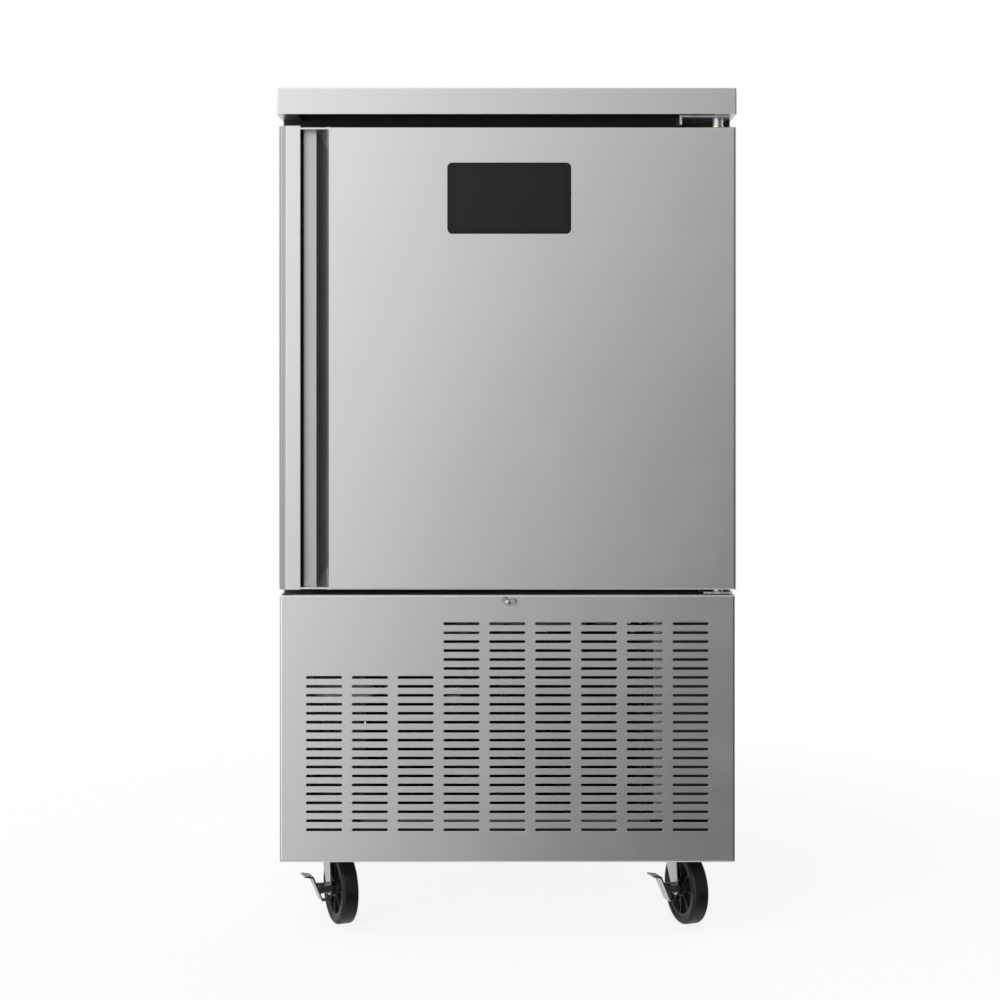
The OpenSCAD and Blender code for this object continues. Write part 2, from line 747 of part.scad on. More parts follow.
pipe_d = 12;
recv_top = base_z + base_t + recv_h + 26;
can_top = base_z + base_t + 10 + recv_h;
comp_top = comp_z0 + compressor_h;
line_z = comp_top + 34;
module refrigerant_pipes() color("peru") {
    cond_top = cond_z0 + cond_h - 10;
    cond_xr = cond_x1 + 12;
    cond_xl = cond_x0 - 12;
    // Discharge line from the compressor to the condenser
    tube_run([[comp_pos[0], comp_pos[1], comp_top], [comp_pos[0], comp_pos[1], line_z],
              [cond_xr, comp_pos[1], line_z], [cond_xr, cond_y0 + 14, line_z],
              [cond_xr, cond_y0 + 14, cond_top]], pipe_d - 2);
    // Condenser to receiver
    tube_run([[cond_xl, cond_y0 + 14, cond_top], [cond_xl, cond_y0 + 14, cond_top + 16],
              [cond_xl, recv_pos[1], cond_top + 16], [recv_pos[0], recv_pos[1], cond_top + 16],
              [recv_pos[0], recv_pos[1], recv_top]], pipe_d - 2);
    // Receiver to drier
    recv_x = recv_pos[0] + 22;
    drier_xr = drier_x[1] + 24;
    over_z = can_top + 40;
    tube_run([[recv_x, recv_pos[1], can_top], [recv_x, recv_pos[1], over_z],
              [recv_x, recv_pos[1] - 100, over_z], [drier_xr, recv_pos[1] - 100, over_z],
              [drier_xr, drier_pos[1], over_z], [drier_xr, drier_pos[1], drier_pos[2]],
              [drier_x[1] + 14, drier_pos[1], drier_pos[2]]], pipe_d - 4);
    // Drier to the evaporator's left header
    tube_run([[drier_x[0] - 14, drier_pos[1], drier_pos[2]], [drier_x[0] - 30, drier_pos[1], drier_pos[2]],
              [drier_x[0] - 30, drier_pos[1], box_z0 - 30], [drier_x[0] - 30, liquid_pos[1], box_z0 - 30],
              [liquid_pos[0], liquid_pos[1], box_z0 - 30], [liquid_pos[0], liquid_pos[1], cowl_z0 + 30],
              [-coil_x - plate_t - 12 - 8, chamber_y1 - 30, cowl_z0 + 30]], pipe_d - 4);
    // Suction line from the right header to the compressor
    tube_run([[coil_x + plate_t + 12 + 8, chamber_y1 - 30, cowl_z0 + 30], [suction_pos[0], suction_pos[1], cowl_z0 + 30],
              [suction_pos[0], suction_pos[1], suction_z], [comp_pos[0] + compressor_d / 2 + 20, comp_pos[1], suction_z],
              [comp_pos[0] + compressor_d / 2, comp_pos[1], suction_z]], pipe_d + 4);
}

module electrical_box() color("lightgray") {
    x1 = inner_x;
    x0 = x1 - ebox_w;
    y0 = face_y + 6;
    y1 = y0 + ebox_d;
    z0 = base_z + base_t + 30;
    z1 = box_z0 - rail_h - 6;
    difference() {
        block([x0, y0, z0], [x1, y1, z1]);
        block([x0 + skin, y0 + skin, z0 + skin], [x1 - skin, y1 - skin, z1 - skin]);
    }
    for (x = [x0 + 14, x1 - 30]) block([x, y1 - 30, base_z + base_t], [x + 16, y1 - 27, z0]);
    // Contactors and board inside
    block([x0 + 20, y1 - 60, z0 + 40], [x1 - 20, y1 - skin, z0 + 120]);
    block([x0 + 20, y1 - 40, z0 + 150], [x1 - 20, y1 - skin, z1 - 40]);
}

// ---------- hinge ----------

collar_d = hinge_pin_d + 8;
module hinge_bracket_top() color("gainsboro") {
    x0 = hinge_x - 68;
    x1 = hinge_x + 18;
    difference() {
        union() {
            block([x0, door_y0 + 8, top_z0 - bracket_t], [x1, face_y, top_z0]);
            block([x0, face_y - bracket_t, door_z1 + 4], [x1, face_y, top_z0]);
            block([x0, door_y0 + 8, door_z1 + 5], [x0 + bracket_t, face_y, top_z0]);
        }
        for (p = top_screws) rod_y(p[0], face_y - 10, face_y + 1, p[1], screw_d);
    }
    rod_z(hinge_x, hinge_y, door_z1 + 5 + run, top_z0 - bracket_t, collar_d);
    rod_z(hinge_x, hinge_y, door_z1 - bush_l + 4, top_z0 - bracket_t, hinge_pin_d);
}

bottom_bracket_z0 = panel_z1 + 1.5;
bottom_bracket_z1 = bottom_bracket_z0 + 3;
module hinge_bracket_bottom() color("gainsboro") {
    x0 = hinge_x - 26;
    x1 = hinge_x + 24;
    difference() {
        union() {
            block([x0, door_y0 + 10, bottom_bracket_z0], [x1, face_y, bottom_bracket_z1]);
            block([x0, face_y - 3, box_z0 - rail_h], [x1, face_y, bottom_bracket_z1]);
        }
        for (p = foot_screws) rod_y(p[0], face_y - 10, face_y + 1, p[1], screw_d);
    }
    rod_z(hinge_x, hinge_y, bottom_bracket_z1, door_z0 - run, collar_d);
    rod_z(hinge_x, hinge_y, bottom_bracket_z1, door_z0 + bush_l - 4, hinge_pin_d);
}

// Places of the hinge screws: x, z and the thickness under the head
top_screws = [for (x = [hinge_x - 54, hinge_x - 24]) [x, (door_z1 + top_z0) / 2, bracket_t]];
foot_screws = [for (x = [hinge_x - 14, hinge_x + 12]) [x, box_z0 - rail_h + 14, 3]];
screw_d = 6;
screw_l = 16;
module screw_holes(list) for (p = list) rod_y(p[0], face_y - 1, face_y + screw_l, p[1], screw_d);

// Button head screw along Y, its head's back at y
module face_screw(x, y, z) {
    rod_y(x, y, y + screw_l, z, screw_d);
    difference() {
        rod_y(x, y - 3, y, z, 11);
        translate([x, y - 4, z]) rotate([-90, 0, 0]) hexagon(0, 3, 4);
    }
}

module hinge_screws() color("silver") {
    for (p = concat(top_screws, foot_screws)) face_screw(p[0], face_y - p[2], p[1]);
}

// ---------- door ----------

// Plan of the door, set in by t all round
module door_plan(t) difference() {
    translate([door_x0 + t, door_y0 + t]) {
        w = door_w - 2 * t;
        d = door_t - 2 * t;
        rl = handle_edge_r - t;
        rr = door_edge_r - t;
        translate([rl, 0]) square([w - rl - rr, d]);
        translate([0, rl]) square([w - rr, d - rl - rr]);
        translate([rl, rr]) square([w - rl, d - 2 * rr]);
        translate([rl, rl]) circle(r = rl);
        translate([0, rl]) square([rl, d - rl]);
        for (y = [rr, d - rr]) translate([w - rr, y]) circle(r = rr);
    }
}

// Outline of the handle's hollow, grown by t
function hollow(t) = [
    [grip_x - t, door_y0 - 1], [grip_x - t, door_y0 + grip_t - t], [finger_x0 - t, door_y0 + grip_t - t],
    [finger_x0 - t, door_y0 + finger_d + t], [back_x0 + t, door_y0 + finger_d + t],
    [back_x0 + t, door_y0 + channel_d + t],
    [back_x1 - slope_k * t + slope_grow * t, door_y0 + channel_d + t],
    [slope_x1 + slope_grow * t + slope_k, door_y0 - 1]];

module handle_zone(x0, x1) translate([x0, door_y0 - 1]) square([x1 - x0, door_t + 2]);

module door_skin() color("silver") difference() {
    intersection() {
        translate([0, 0, door_z0]) linear_extrude(height = door_h) difference() {
            door_plan(0);
            handle_zone(door_x0 - 1, slope_x1 + handle_wall);
        }
        extrude_x(door_x0, door_x1)
            translate([(door_y0 + door_y1) / 2, (door_z0 + door_z1) / 2]) round_rect(door_t, door_h, 3);
    }
    intersection() {
        translate([0, 0, door_z0 + skin]) linear_extrude(height = door_h - 2 * skin) door_plan(skin);
        block([slope_x1 - 30, door_y0, door_z0], [door_x1, door_y1, door_z1]);
    }
    block([slope_x1 - 30, door_y1 - 2 * skin, door_z0 + skin], [door_x1 - door_edge_r, door_y1 + 1, door_z1 - skin]);
    translate([glass_x, 0, door_z1 - glass_drop]) extrude_y(door_y0 - 1, door_y0 + 2 * skin)
        round_rect(glass_w + 1, glass_h + 1, glass_r + 0.5);
    rod_z(hinge_x, hinge_y, door_z0 - 1, door_z0 + 2 * skin, bush_d);
    rod_z(hinge_x, hinge_y, door_z1 - 2 * skin, door_z1 + 1, bush_d);
}

module door_foam() color("khaki") difference() {
    translate([0, 0, door_z0 + skin]) linear_extrude(height = door_h - 2 * skin) difference() {
        intersection() {
            door_plan(handle_wall);
            translate([door_x0 + handle_wall, door_y0]) square([door_w - handle_wall - door_edge_r, door_t - 2 * skin]);
        }
        polygon(hollow(handle_wall));
    }
    translate([glass_x, 0, door_z1 - glass_drop]) extrude_y(door_y0, door_y0 + glass_t + module_d)
        round_rect(glass_w + 1, glass_h + 1, glass_r + 0.5);
    rod_z(hinge_x, hinge_y, door_z0, door_z0 + bush_l, bush_d);
    rod_z(hinge_x, hinge_y, door_z1 - bush_l, door_z1, bush_d);
}

gasket_x0 = -chamber_x - 8 - gasket_w;
gasket_x1 = chamber_x + 8 + gasket_w;
module door_liner() color("gainsboro")
    block([door_x0 + handle_wall, door_y1 - 2 * skin, door_z0 + skin],
          [door_x1 - door_edge_r, door_y1, door_z1 - skin]);

module door_gasket() color("dimgray") {
    w = gasket_x1 - gasket_x0;
    h = chamber_h + 16 + 2 * gasket_w;
    base = 3;
    translate([(gasket_x0 + gasket_x1) / 2, 0, chamber_mid]) {
        extrude_y(door_y1, door_y1 + base) difference() {
            round_rect(w, h, 12);
            round_rect(w - 2 * gasket_w, h - 2 * gasket_w, 6);
        }
        extrude_y(door_y1 + base, face_y - run) difference() {
            round_rect(w - 6, h - 6, 9);
            round_rect(w - 2 * gasket_w + 6, h - 2 * gasket_w + 6, 9);
        }
    }
}

module handle_channel() color("silver") difference() {
    translate([0, 0, door_z0]) linear_extrude(height = door_h + handle_over) difference() {
        intersection() {
            door_plan(0);
            handle_zone(door_x0 - 1, slope_x1 + handle_wall);
        }
        polygon(hollow(0));
        translate([door_x0 + handle_wall, door_y1 - 2 * skin]) square([door_w, 3 * skin]);
    }
    // Space for the foam, with a lid at each end, and the rim over the upper lid
    for (z = [[door_z0 + skin, door_h - 2 * skin], [door_z1, handle_over + 1]])
        translate([0, 0, z[0]]) linear_extrude(height = z[1]) difference() {
            intersection() {
                door_plan(handle_wall);
                handle_zone(door_x0, slope_x1 + 2 * handle_wall);
            }
            polygon(hollow(handle_wall));
        }
    // The slanting wall stops level with the door
    block([back_x1 - 1, door_y0 - 1, door_z1], [slope_x1 + 10, door_y1 + 1, handle_z1 + 1]);
}

// Lid that closes one end of the hollow, with a gusset on the slanting wall
cap_t = 3;
module handle_end_caps() color("silver") {
    for (z = [door_z0 + 1, door_z1 - cap_t - 1]) translate([0, 0, z])
        linear_extrude(height = cap_t) intersection() {
            polygon(hollow(0));
            translate([finger_x0, door_y0 + 0.6]) square([slope_x1 - finger_x0, door_t]);
        }
    gusset_l = 33;
    lift = 1 + cap_t + seat_gap;
    for (m = [0, 1]) translate([0, 0, m > 0 ? door_z0 + lift : door_z1 - lift]) mirror([0, 0, m > 0 ? 0 : 1])
        translate([back_x1, door_y0 + channel_d, 0]) rotate([0, 0, -atan2(channel_d, channel_slope_w)])
            rotate([90, 0, 0]) linear_extrude(height = 1.2)
                polygon([[3, 0], [slope_len - 1.5, 0], [slope_len - 4, gusset_l]]);
}

module hinge_bushes() color("dimgray") {
    difference() {
        union() {
            rod_z(hinge_x, hinge_y, door_z1 - bush_l, door_z1, bush_d);
            rod_z(hinge_x, hinge_y, door_z1, door_z1 + 5, bush_d + 4);
        }
        rod_z(hinge_x, hinge_y, door_z1 - bush_l - 1, door_z1 + 6, hinge_pin_d + 2 * fit);
    }
    difference() {
        rod_z(hinge_x, hinge_y, door_z0, door_z0 + bush_l, bush_d);
        rod_z(hinge_x, hinge_y, door_z0 - 1, door_z0 + bush_l + 1, hinge_pin_d + 2 * fit);
    }
}

module touch_glass() color("black") translate([glass_x, 0, door_z1 - glass_drop])
    extrude_y(door_y0 - 1, door_y0 - 1 + glass_t) round_rect(glass_w, glass_h, glass_r);

module display_module() color("darkslategray") translate([glass_x, door_y0 - 1 + glass_t, door_z1 - glass_drop]) {
    block([-glass_w / 2 + 8, 0, -glass_h / 2 + 8], [glass_w / 2 - 8, module_d - 6, glass_h / 2 - 8]);
    block([-glass_w / 2 + 20, module_d - 6, -glass_h / 2 + 16], [glass_w / 2 - 20, module_d + 1, glass_h / 2 - 16]);
}

// ---------- lower panel ----------

// Outer form of the panel, set in by t
module panel_form(t) {
    w = panel_w - 2 * t;
    h = panel_z1 - panel_z0 - 2 * t;
    r = panel_edge_r - t;
    d = 2 * panel_d;
    intersection() {
        translate([front_shift, panel_y0 + t + d / 2, panel_z0 + t]) linear_extrude(height = h) round_rect(w, d, r);
        extrude_x(panel_x0, panel_x1)
            translate([panel_y0 + t + d / 2, (panel_z0 + panel_z1) / 2]) round_rect(d, h, r);
        block([panel_x0, panel_y0, panel_z0], [panel_x1, panel_y1, panel_z1]);
    }
}

module slot_field() for (c = [0 : slot_cols - 1]) {
    x = (c - (slot_cols - 1) / 2) * slot_pitch_x;
    rows = c < short_cols ? short_rows : slot_rows;
    for (r = [0 : rows - 1]) translate([x, r * slot_pitch_z]) {
        square([slot_l - slot_h, slot_h], center = true);
        for (e = [-1, 1]) translate([e * (slot_l - slot_h) / 2, 0]) circle(d = slot_h, $fn = 24);
    }
}

module front_panel() color("silver") {
    difference() {
        panel_form(0);
        difference() {
            panel_form(skin);
            block([panel_x0, panel_y1 - 0.01, panel_z0], [panel_x1, panel_y1 + 1, panel_z1]);
        }
        block([panel_x0 + skin, panel_y1 - 5, panel_z0 + skin], [panel_x1 - skin, panel_y1 + 1, panel_z1 - skin]);
        block([panel_x0 + 20, panel_y0 + 20, panel_z0 - 1], [panel_x1 - 20, panel_y1 + 1, panel_z0 + 2 * skin]);
        translate([front_shift, 0, panel_z0 + slot_base]) extrude_y(panel_y0 - 1, panel_y0 + 2 * skin) slot_field();
        rod_y(stud_x, panel_y0 - 1, panel_y0 + 2 * skin, stud_z, stud_d + 2 * run);
    }
    for (s = [-1, 1]) {
        a = s > 0 ? front_shift + lug_x - 5 : panel_x0 + skin;
        rod_x(a, a + panel_w / 2 - skin - lug_x + 5, pivot_y, pivot_z, pivot_d);
    }
}

module wing_screw() color("gainsboro") {
    rod_y(stud_x, panel_y0 - 10, panel_y0 - run, stud_z, 11);
    rod_y(stud_x, panel_y0 - 1, face_y + skin + 8, stud_z, stud_d);
    rod_y(stud_x, panel_y0 + skin + run, panel_y0 + skin + run + 2, stud_z, stud_d + 5);
    translate([stud_x, 0, stud_z]) extrude_y(panel_y0 - 9, panel_y0 - 6) rotate(-12) {
        strip([-wing_span / 2 + 4, 4], [wing_span / 2 - 4, 4], 8);
        for (s = [-1, 1]) translate([s * (wing_span / 2 - 5), 5]) circle(r = 5);
    }
}

// ---------- casters ----------

plate_x = 96;
plate_y = 76;
plate_th = 4;
bolt_x = 38;
bolt_y = 28;
bolt_d = 8;
race_z = base_z - plate_th - 6.5;
yoke_z = race_z - 12;
kingpin_d = 12;

module caster_holes(c, z0, z1) translate([c[0], c[1], 0])
    for (sx = [-1, 1], sy = [-1, 1]) rod_z(sx * bolt_x, sy * bolt_y, z0, z1, bolt_d);

module caster_plates() color("lightgray") for (c = CASTERS) {
    difference() {
        translate([c[0] - plate_x / 2, c[1] - plate_y / 2, base_z - plate_th]) cube([plate_x, plate_y, plate_th]);
        caster_holes(c, base_z - plate_th - 1, base_z + 1);
    }
    translate([c[0], c[1], 0]) {
        rod_z(0, 0, race_z, base_z - plate_th, 58);
        rod_z(0, 0, yoke_z - run, race_z, kingpin_d);
        rod_z(0, 0, yoke_z - run - 3, yoke_z - run, kingpin_d + 8);
    }
}

module caster_bolts() color("silver") for (c = CASTERS, sx = [-1, 1], sy = [-1, 1])
    translate([c[0] + sx * bolt_x, c[1] + sy * bolt_y, 0]) {
        rod_z(0, 0, base_z - plate_th, base_z + base_t + 9, bolt_d);
        hexagon(base_z - plate_th - 5, 5, 13);
        hexagon(base_z + base_t, 6, 13);
    }

// Places a piece of a caster: swivel line on Z, wheel towards -Y
module at_caster(i) translate([CASTERS[i][0], CASTERS[i][1], 0]) rotate(CASTERS[i][2]) children();

leg_in = 19.5;
leg_t = 3;
axle_d = 10;
lever_pivot = [-30, axle_z + 2.5];
lever_half = 14.4;
lug_half = 12;

module fork(i, brake) color("lightgray") at_caster(i) {
    difference() {
        union() {
            translate([-leg_in - leg_t, -37, yoke_z]) cube([2 * (leg_in + leg_t), 54, 4]);
            rod_z(0, 0, yoke_z, race_z - run, 54);
        }
        rod_z(0, 0, yoke_z - 1, race_z + 1, kingpin_d + 2 * fit);
    }
    for (s = [-1, 1]) extrude_x(s > 0 ? leg_in : -leg_in - leg_t, s > 0 ? leg_in + leg_t : -leg_in) {
        polygon([[-37, yoke_z + 4], [17, yoke_z + 4], [17, yoke_z - 6], [-trail + 11, axle_z - 4], [-trail - 12, axle_z]]);
        translate([-trail, axle_z]) circle(r = 12);
    }
    translate([0, -trail, axle_z]) {
        rod_x(-leg_in - leg_t, leg_in + leg_t, 0, 0, axle_d);
        for (s = [-1, 1]) rotate([0, s * 90, 0]) hexagon(leg_in + leg_t, 7, 15);
    }
    // Lugs and pins for the brake lever
    if (brake) for (s = [-1, 1]) {
        y0 = -trail + (s > 0 ? lug_half - 3 : -lug_half);
        translate([-34, y0, axle_z - 3.5]) cube([34 - leg_in - leg_t, 3, 12]);
        rod_y(lever_pivot[0], -trail + (s > 0 ? lug_half - 1 : -lever_half), -trail + (s > 0 ? lever_half : -lug_half + 1),
              lever_pivot[1], 4);
    }
}
module fork_front_left() fork(0, true);
module fork_front_right() fork(1, true);
module fork_rear_left() fork(2, false);
module fork_rear_right() fork(3, false);

hub_r = wheel_d / 2 - 12.5;
hub_w = tyre_w - 4;
module hub(i) color("dimgray") at_caster(i) translate([0, -trail, axle_z]) rotate([0, 90, 0]) rotate_extrude() {
    translate([hub_r - 6, -hub_w / 2]) square([6, hub_w]);
    translate([axle_d / 2 + fit, -5]) square([hub_r - 4 - axle_d / 2, 10]);
    translate([axle_d / 2 + fit, -hub_w / 2]) square([10, hub_w]);
    // Spacer rings between the hub and the fork's legs
    for (z = [hub_w / 2 + seat_gap, -leg_in + run])
        translate([axle_d / 2 + fit, z]) square([7, leg_in - run - hub_w / 2 - seat_gap]);
}
module hub_front_left() hub(0);
module hub_front_right() hub(1);
module hub_rear_left() hub(2);
module hub_rear_right() hub(3);

shoulder_r = 6;
module tyre(i) color("black") at_caster(i) translate([0, -trail, axle_z]) rotate([0, 90, 0]) rotate_extrude($fn = 96) {
    r = wheel_d / 2;
    translate([hub_r, -tyre_w / 2 + 1]) square([r - hub_r - shoulder_r, tyre_w - 2]);
    translate([hub_r, -tyre_w / 2 + shoulder_r]) square([r - hub_r, tyre_w - 2 * shoulder_r]);
    translate([hub_r + 2, -tyre_w / 2]) square([r - hub_r - shoulder_r - 2, tyre_w]);
    for (s = [-1, 1]) translate([r - shoulder_r, s * (tyre_w / 2 - shoulder_r)]) circle(r = shoulder_r);
}
module tyre_front_left() tyre(0);
module tyre_front_right() tyre(1);
module tyre_rear_left() tyre(2);
module tyre_rear_right() tyre(3);

lever_t = 2.5;
lever_tip = [-72, axle_z + 27.5];
lever_bend = [-55, axle_z + 25.5];
lever_heel = [-37, axle_z - 19];
lever_tooth = [-21.5, axle_z - 20.5];
module brake_lever(i) color("gainsboro") at_caster(i) translate([0, -trail, 0]) {
    extrude_y(-lever_half, lever_half) {
        strip(lever_tip, lever_bend, lever_t);
        strip(lever_bend, lever_heel, lever_t);
    }
    extrude_y(-7, 7) strip(lever_heel, lever_tooth, lever_t);
    for (s = [-1, 1]) difference() {
        extrude_y(s > 0 ? lug_half + run : -lever_half, s > 0 ? lever_half : -lug_half - run) {
            translate(lever_pivot) circle(r = 5);
            polygon([lever_pivot + [0, 5], lever_pivot - [0, 5], [-42, axle_z - 4], [-48, axle_z + 9]]);
        }
        rod_y(lever_pivot[0], -lever_half - 1, lever_half + 1, lever_pivot[1], 4 + 2 * fit + 0.1);
    }
}
module brake_lever_left() brake_lever(0);
module brake_lever_right() brake_lever(1);

worktop();
worktop_core();
side_panel_left();
side_panel_right();
back_panel();
insulation();
chamber_liner();
front_frame();
service_rail();
base_plate();
rear_grille();
evaporator_coil();
fan_cowl();
fan_motors();
evaporator_fan_upper();
evaporator_fan_lower();
tray_rack_left();
tray_rack_right();
chamber_drain();
condensate_tray();
compressor();
condenser_coil();
condenser_shroud();
condenser_fan();
receiver();
filter_drier();
refrigerant_pipes();
electrical_box();
power_gland();
hinge_bracket_top();
hinge_bracket_bottom();
hinge_screws();
door_skin();
door_foam();
door_liner();
door_gasket();
handle_channel();
handle_end_caps();
hinge_bushes();
touch_glass();
display_module();
front_panel();
wing_screw();
caster_plates();
caster_bolts();
fork_front_left();
fork_front_right();
fork_rear_left();
fork_rear_right();
hub_front_left();
hub_front_right();
hub_rear_left();
hub_rear_right();
tyre_front_left();
tyre_front_right();
tyre_rear_left();
tyre_rear_right();
brake_lever_left();
brake_lever_right();
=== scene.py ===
import json
import math
import bmesh
import bpy
from mathutils import Euler, Matrix, Vector

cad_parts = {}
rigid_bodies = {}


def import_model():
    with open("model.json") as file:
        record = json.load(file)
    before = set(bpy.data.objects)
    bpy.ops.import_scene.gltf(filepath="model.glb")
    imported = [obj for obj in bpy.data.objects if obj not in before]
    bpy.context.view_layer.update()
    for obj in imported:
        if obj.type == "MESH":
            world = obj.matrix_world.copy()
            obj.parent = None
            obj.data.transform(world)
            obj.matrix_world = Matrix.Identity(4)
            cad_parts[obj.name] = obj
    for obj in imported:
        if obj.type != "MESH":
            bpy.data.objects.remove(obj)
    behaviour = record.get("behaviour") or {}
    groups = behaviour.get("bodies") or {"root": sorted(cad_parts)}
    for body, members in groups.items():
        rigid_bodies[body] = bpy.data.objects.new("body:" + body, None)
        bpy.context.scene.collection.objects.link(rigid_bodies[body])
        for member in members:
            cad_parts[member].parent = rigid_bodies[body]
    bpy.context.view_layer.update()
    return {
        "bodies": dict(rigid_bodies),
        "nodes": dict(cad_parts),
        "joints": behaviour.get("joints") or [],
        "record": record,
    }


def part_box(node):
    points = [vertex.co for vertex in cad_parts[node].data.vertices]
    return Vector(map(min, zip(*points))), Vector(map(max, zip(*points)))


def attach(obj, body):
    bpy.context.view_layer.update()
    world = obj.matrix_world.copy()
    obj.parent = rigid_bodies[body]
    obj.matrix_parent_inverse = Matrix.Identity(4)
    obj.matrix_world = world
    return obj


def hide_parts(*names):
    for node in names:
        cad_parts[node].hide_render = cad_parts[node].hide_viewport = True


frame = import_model()
mm = 0.001  # lengths below are written in millimetres


def span(node):  # lowest and highest corner of a CAD node in millimetres
    lo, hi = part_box(node)
    return Vector(lo) / mm, Vector(hi) / mm


class Sock:  # an output of a node tree; sums and products add Math nodes
    def __init__(self, graph, out):
        self.graph, self.out = graph, out

    def math(self, operation, *others):
        return self.graph.math(operation, self, *others)

    def __add__(self, other): return self.math("ADD", other)
    def __radd__(self, other): return self.graph.math("ADD", other, self)
    def __sub__(self, other): return self.math("SUBTRACT", other)
    def __rsub__(self, other): return self.graph.math("SUBTRACT", other, self)
    def __mul__(self, other): return self.math("MULTIPLY", other)
    def __rmul__(self, other): return self.graph.math("MULTIPLY", other, self)
    def __truediv__(self, other): return self.math("DIVIDE", other)
    def __rtruediv__(self, other): return self.graph.math("DIVIDE", other, self)
    def __neg__(self): return self.math("MULTIPLY", -1.0)
    def __abs__(self): return self.math("ABSOLUTE")


class Graph:  # adds any other node: its type, its settings, the values or links of its sockets
    def __init__(self, tree):
        self.tree = tree

    def node(self, kind, settings=None, values=None, out=0):
        made = self.tree.nodes.new(kind)
        for name, value in (settings or {}).items():
            if name == "stops":
                fillRamp(made.color_ramp, value)
            else:
                setattr(made, name, value)
        for name, value in (values or {}).items():
            if isinstance(value, Sock):
                self.tree.links.new(value.out, made.inputs[name])
            elif value is not None:
                made.inputs[name].default_value = value
        return Sock(self, made.outputs[out]) if len(made.outputs) else made

    def math(self, operation, *values):
        return self.node("ShaderNodeMath", {"operation": operation}, dict(enumerate(values)))

    def clamp(self, value, low=0.0, high=1.0):
        return self.node("ShaderNodeClamp", {}, {"Value": value, "Min": low, "Max": high})

    def here(self, kind="Object"):
        return self.node("ShaderNodeTexCoord", {}, {}, kind)

    def part(self, vector, axis):
        return self.node("ShaderNodeSeparateXYZ", {}, {0: vector}, axis)

    def ray(self, kind):
        return self.node("ShaderNodeLightPath", {}, {}, kind)

    def ramp(self, factor, stops):
        return self.node("ShaderNodeValToRGB", {"stops": stops}, {0: factor})

    def blend(self, factor, a, b):
        return self.node("ShaderNodeMix", {"data_type": "RGBA"}, {0: factor, 6: a, 7: b}, 2)

    def places(self, scale=(1, 1, 1), shift=(0, 0, 0)):
        return self.node("ShaderNodeMapping", {}, {"Vector": self.here(), "Scale": scale, "Location": shift})

    def cells(self, size, out):
        return self.node("ShaderNodeTexVoronoi", {}, {"Vector": self.places((size,) * 3), "Scale": 1.0}, out)

    def noise(self, scale, detail=2.0, roughness=0.5, shift=(0, 0, 0)):
        stretched = scale if isinstance(scale, tuple) else (scale,) * 3
        return self.node("ShaderNodeTexNoise", {},
                         {"Vector": self.places(stretched, shift=shift), "Scale": 1.0,
                                                     "Detail": detail, "Roughness": roughness})

    def bump(self, height, depth, strength):
        return self.node("ShaderNodeBump", {}, {"Height": height, "Distance": depth, "Strength": strength})


def fillRamp(ramp, stops):
    while len(ramp.elements) > 1:
        ramp.elements.remove(ramp.elements[-1])
    ramp.elements[0].position = stops[0][0]
    for place, _ in stops[1:]:
        ramp.elements.new(place)
    for element, (_, tone) in zip(ramp.elements, stops):
        element.color = (tone, tone, tone, 1) if isinstance(tone, (int, float)) else (*tone, 1)


def grey(tone):
    return (tone, tone, tone, 1)


def finish(name, build):  # a material from a function that gives the sockets of its shader
    material = bpy.data.materials.new(name)
    material.use_nodes = True
    material.node_tree.nodes.clear()
    graph = Graph(material.node_tree)
    shader = graph.node("ShaderNodeBsdfPrincipled", {}, build(graph))
    graph.node("ShaderNodeOutputMaterial", {}, {"Surface": shader})
    return material


steelLook = {
    "tone": (0.60, 0.60, 0.597, 1),
    "toneWorn": (0.655, 0.655, 0.65, 1),
    "roughness": 0.27,
    "grainAcross": 1500,  # lines per metre
    "grainAlong": 9,
    "grainDepth": 0.00004,
}


def brushed(along, tone="tone", rough=0.0, depth=1.0):
    def build(g):
        s = steelLook
        scale = tuple(s["grainAlong"] if axis == along else s["grainAcross"] for axis in "xyz")
        grain = g.noise(scale, 3.0, 0.6)
        long = g.noise(tuple(c * 0.22 for c in scale), 2.0, 0.5, (3, 7, 1))
        cloud = g.noise(2.6, 4.0, 0.55, (5, 2, 9))
        smudge = g.ramp(g.noise(9.0, 5.0, 0.6, (1, 8, 4)), [(0.5, 0.0), (0.78, 1.0)])
        lines = grain * 0.6 + long * 0.4
        return {
            "Base Color": g.blend(lines * 0.7 + cloud * 0.3, s[tone], s["toneWorn"]),
            "Metallic": 1.0,
            "Roughness": s["roughness"] + rough + lines * 0.07 + cloud * 0.06 + smudge * 0.03,
            "Normal": g.bump(lines, s["grainDepth"] * depth, 0.5),
        }
    return build


channelPaintedShade = {  # painted shade: how the rounded grip edge and the recess walls of the handle profile are darkened in the base colour, by place across and into it
    "across": [(-0.3985, 0.8), (-0.3915, 0.8), (-0.3900, 0.42), (-0.3850, 0.42), (-0.3835, 1.0),
               (-0.3070, 1.0)],
    "into": [(-0.4045, 1.0), (-0.4015, 1.0), (-0.3985, 0.74), (-0.3400, 0.74)],
}


def channelLookPaintedShade(g):
    def along(axis, stops):
        first, last = stops[0][0], stops[-1][0]
        stops = [((place - first) / (last - first), tone) for place, tone in stops]
        return g.ramp((g.part(g.places(), axis) - first) / (last - first), stops)

    sockets = brushed("z")(g)
    shade = along(0, channelPaintedShade["across"]) * along(1, channelPaintedShade["into"])
    # painted shade: the base colour goes towards black on the grip edge's band and on the recess walls
    sockets["Base Color"] = g.blend(shade, grey(0.0), sockets["Base Color"])
    return sockets


def chamberLook(g):  # smooth rolled sheet inside the chamber
    rolled = g.noise((700, 700, 14), 3.0, 0.55)
    wave = g.noise(5.0, 2.0, 0.5, (4, 4, 4))
    return {
        "Base Color": g.blend(rolled * 0.5 + wave * 0.5, (0.57, 0.57, 0.57, 1), (0.65, 0.65, 0.645, 1)),
        "Metallic": 1.0,
        "Roughness": 0.24 + rolled * 0.08 + wave * 0.08,
        "Normal": g.bump(rolled * 0.3 + wave, 0.0002, 0.35),
    }


